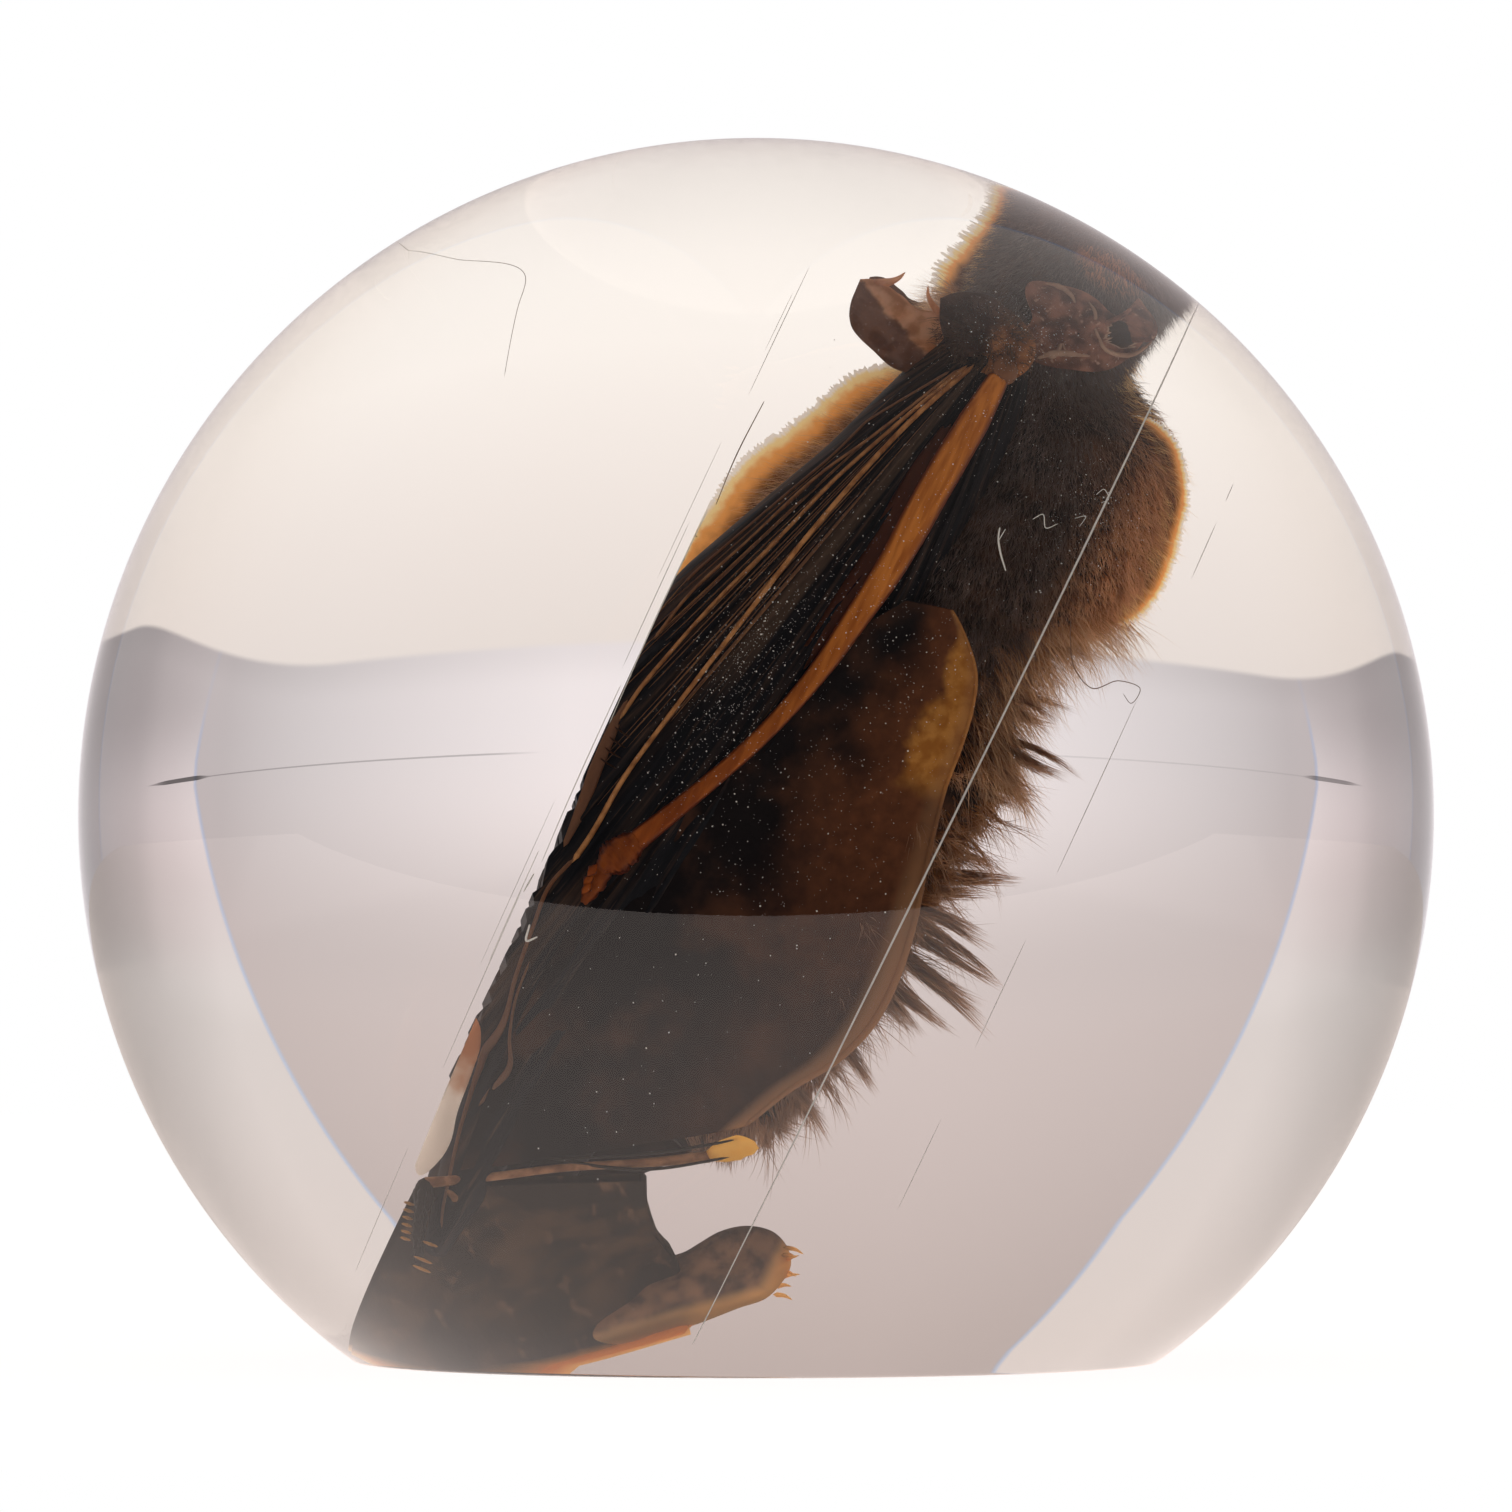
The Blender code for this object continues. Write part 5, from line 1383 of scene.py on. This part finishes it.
def make_floor():
    corners = ((-FLOOR_HALF_WIDTH, FLOOR_FRONT), (FLOOR_HALF_WIDTH, FLOOR_FRONT),
               (FLOOR_HALF_WIDTH, FLOOR_BACK), (-FLOOR_HALF_WIDTH, FLOOR_BACK))
    shade = new_shade("pale_table")
    # in the ball's mirror image the table is warmer, and it glows brighter close to the ball and dimmer
    # behind it: a painted pool of light
    far = shade.space("LENGTH", shade.place(), {}, "Value")
    near = shade.span(far, 45.0, 120.0, 1.28, 0.92)
    near = shade.times(near, shade.span(shade.parts(shade.place())[1], -15.0, 20.0, 1.0, 0.72))
    warm = shade.dim((1.0, 0.87, 0.82), near)
    path = shade.node("ShaderNodeLightPath").outputs
    surface = shade.node("ShaderNodeBsdfPrincipled", {
        "Base Color": (0.14, 0.14, 0.14), "Roughness": 1.0, "Specular IOR Level": 0.0,
        "Emission Color": shade.blend(path["Is Camera Ray"], warm, (0.95, 0.94, 0.93)),
        "Emission Strength": 1.0})
    shade.node("ShaderNodeOutputMaterial", {"Surface": surface.outputs[0]})
    mesh = bpy.data.meshes.new("table")
    mesh.from_pydata([(x, y, FLOOR_LEVEL) for x, y in corners], [], [(0, 1, 2, 3)])
    mesh.materials.append(shade.owner)
    table = link(bpy.data.objects.new("table", mesh))
    table.visible_transmission = False


# Colours of the studio: backdrop low, half way and high, the glint on its edge, the table far and near
CLOTH_LOW = (1.0, 0.95, 0.985)
CLOTH_MIDDLE = (1.0, 0.875, 0.865)
CLOTH_HIGH = (1.0, 0.83, 0.79)
EDGE_GLINT = (0.86, 0.93, 1.16)
TABLE_FAR = (1.0, 0.932, 0.905)
TABLE_NEAR = (1.0, 0.965, 0.93)
# Light on the bat from the viewer's side and from above, more of it through thin parts, and the dark room
ROOM_FRONT = (0.62, 0.6, 0.58)
ROOM_TOP = (1.0, 0.95, 0.9)
THROUGH = (1.75, 1.7, 1.62)
DARK_ROOM = (0.04, 0.04, 0.045)


def make_light():
    """A pale studio: what the ball bends into view is a grey-violet backdrop over a bright table."""
    shade = Shade(bpy.data.worlds.new("studio"))
    bpy.context.scene.world = shade.owner
    way = shade.node("ShaderNodeTexCoord").outputs["Generated"]
    split = shade.parts(way)
    rise = shade.times(shade.math("ARCSINE", split[2]), DEGREES)
    turn = shade.times(shade.math("ARCTAN2", split[0], split[1]), DEGREES)
    aside = shade.math("ABSOLUTE", turn)
    front = shade.math("MAXIMUM", split[1], 0.02)
    tangent = shade.math("DIVIDE", split[2], front)
    # backdrop: brightest low at the middle, darker to the sides and warmer upwards
    low_level = shade.span(aside, 10.0, 38.0, 0.93, 0.58, "LINEAR")
    high_level = shade.times(shade.span(aside, 10.0, 40.0, 0.66, 0.575, "LINEAR"),
                            shade.span(rise, 12.0, 44.0, 1.0, 0.74, "LINEAR"))
    panel = shade.between(shade.span(rise, -1.5, 9.5), low_level, high_level)
    step = shade.minus(rise, shade.times(aside, 0.2))
    panel = shade.times(panel, shade.span(step, 0.2, 1.8, 1.015, 0.985))
    # beyond its edge: a brighter wall that falls off to the sides, faster low down
    band = shade.minus(1.0, shade.times(shade.span(rise, 0.5, 6.0),
                                                  shade.span(rise, 13.5, 8.5, 0.0, 0.09)))
    band = shade.times(band, shade.span(rise, -8.0, 0.0, 0.72, 1.0))
    low_wall = shade.times(shade.span(aside, 40.0, 80.0, 0.84, 0.18, "LINEAR"),
                          shade.span(aside, 49.0, 55.0, 1.0, 0.9))
    high_wall = shade.span(aside, 40.0, 84.0, 0.72, 0.3, "LINEAR")
    beyond = shade.between(shade.span(rise, 8.0, 16.0), low_wall, high_wall)
    beyond = shade.times(beyond, band)
    edge = shade.span(tangent, -0.04, 0.62, 0.905, 0.555, "LINEAR")
    edge = shade.minus(edge, shade.span(tangent, 0.62, 1.0, 0.0, 0.08, "LINEAR"))
    edge = shade.minus(edge, shade.span(tangent, -0.08, -0.25, 0.0, 0.05, "LINEAR"))
    # the backdrop stands near, so its edge lies further in where the ball's front mirrors it
    path = shade.node("ShaderNodeLightPath").outputs
    mirrored = shade.times(path["Is Glossy Ray"], shade.minus(1.0, path["Is Transmission Ray"]))
    edge = shade.times(edge, shade.minus(1.0, shade.times(mirrored, 0.28)))
    off = shade.minus(shade.math("DIVIDE", shade.math("ABSOLUTE", split[0]), front), edge)
    level = shade.between(shade.span(off, -0.01, 0.012), panel, beyond)
    fringe = shade.times(shade.span(off, -0.018, -0.005), shade.span(off, 0.008, -0.002))
    fringe = shade.times(fringe, shade.span(rise, -8.0, -4.0, 0.3, 1.0))
    # the line where backdrop and table meet again, with a dark wedge at each end
    wedge = shade.times(shade.span(aside, 39.5, 42.0), shade.span(aside, 51.0, 47.0))
    thick = shade.plus(0.0009, shade.times(wedge, 0.0028))
    strength = shade.plus(shade.span(turn, -14.0, 14.0, 0.14, 0.36), shade.times(wedge, 0.45))
    strength = shade.times(strength, shade.times(shade.span(aside, 11.0, 15.0),
                                                           shade.span(aside, 52.0, 50.0)))
    line = shade.math("ABSOLUTE", shade.plus(tangent, 0.052))
    line = shade.times(shade.math("LESS_THAN", line, thick), strength)
    level = shade.times(level, shade.minus(1.0, line))
    cloth = shade.blend(shade.span(rise, -4.0, 14.0, kind="LINEAR"), CLOTH_LOW, CLOTH_MIDDLE)
    cloth = shade.blend(shade.span(rise, 14.0, 44.0, kind="LINEAR"), cloth, CLOTH_HIGH)
    cloth = shade.blend(fringe, cloth, EDGE_GLINT)
    violet = shade.times(shade.span(aside, 27.0, 50.0), shade.span(rise, 14.0, 8.0))
    cloth = shade.blend(violet, cloth, shade.tint(cloth, (1.0, 0.95, 0.95)))
    outside = shade.times(shade.span(off, -0.01, 0.012), shade.span(rise, 2.0, 12.0))
    cloth = shade.blend(outside, cloth, shade.tint(cloth, (1.0, 1.07, 1.07)))
    wall = shade.dim(cloth, level)
    # table, brighter and creamier towards the ball
    bright = shade.plus(shade.span(rise, -31.0, -9.0, 1.07, 0.875, "LINEAR"),
                        shade.span(rise, -48.0, -80.0, 0.0, 0.2))
    bright = shade.plus(bright, shade.times(shade.span(aside, 12.0, 60.0),
                                                  shade.span(rise, -30.0, -60.0, 0.0, 0.26)))
    bright = shade.plus(bright, shade.times(shade.span(aside, 52.0, 66.0),
                                                  shade.span(rise, -18.0, -30.0, 0.0, 0.1)))
    bright = shade.plus(bright, shade.span(split[1], 0.32, 0.1, 0.0, 0.3))
    cream = shade.fade(rise, -9.0, -40.0, TABLE_FAR, TABLE_NEAR)
    cream = shade.fade(aside, 25.0, 65.0, cream, shade.tint(cream, TABLE_NEAR))
    ground = shade.dim(cream, bright)
    # the table's far edge lies lower to the sides, and the cloth is darker along it
    drop = shade.times(shade.span(turn, 26.0, 62.0), 6.0)
    drop = shade.plus(drop, shade.times(shade.span(turn, -36.0, -72.0), 4.5))
    above = shade.plus(shade.plus(rise, 8.8), drop)
    sag = shade.span(above, 0.0, 2.6, 0.91, 1.0)
    wall = shade.dim(wall, sag)
    seen = shade.fade(above, -0.25, 0.25, ground, wall)
    # light that falls on the bat, and more that comes through its thin parts: an even room all round
    through = shade.math("GREATER_THAN", path["Transmission Depth"], 2.5)
    lit = shade.math("MAXIMUM", through, shade.math("GREATER_THAN", path["Diffuse Depth"], 0.5))
    behind = shade.span(split[1], -0.25, 0.02, 1.0, 0.0)
    room = shade.blend(through, seen, shade.tint(seen, THROUGH))
    room = shade.blend(behind, room, ROOM_FRONT)
    room = shade.fade(rise, 50.0, 85.0, room, ROOM_TOP)
    # the ball's front mirrors a dark room behind the camera
    mirror = shade.blend(shade.span(split[1], -0.95, 0.35, 1.0, 0.0), seen, DARK_ROOM)
    seen = shade.blend(lit, mirror, room)
    seen = shade.blend(path["Is Camera Ray"], seen, (1.0, 1.0, 1.0))
    back = shade.node("ShaderNodeBackground", {"Color": seen, "Strength": 1.0})
    shade.node("ShaderNodeOutputWorld", {"Surface": back.outputs[0]})


def make_camera():
    lens = bpy.data.cameras.new("camera")
    lens.lens = CAMERA_LENS
    lens.sensor_width = 36.0
    lens.clip_start = 0.01
    made = link(bpy.data.objects.new("camera", lens))
    made.location = (0.0, -CAMERA_DISTANCE, CAMERA_HEIGHT)
    made.rotation_euler = (math.pi / 2 + CAMERA_PITCH, 0.0, 0.0)
    bpy.context.scene.camera = made


make_camera()
make_resin()
make_body()
make_fur()
make_wings()
make_arms()
make_thumbs()
make_flanks()
make_tail_skin()
make_legs()
make_head()
make_dust()
make_fibres()
make_seam_lines()
make_floor()
make_light()
bpy.context.scene.view_settings.view_transform = "Standard"

bpy.context.view_layer.update()
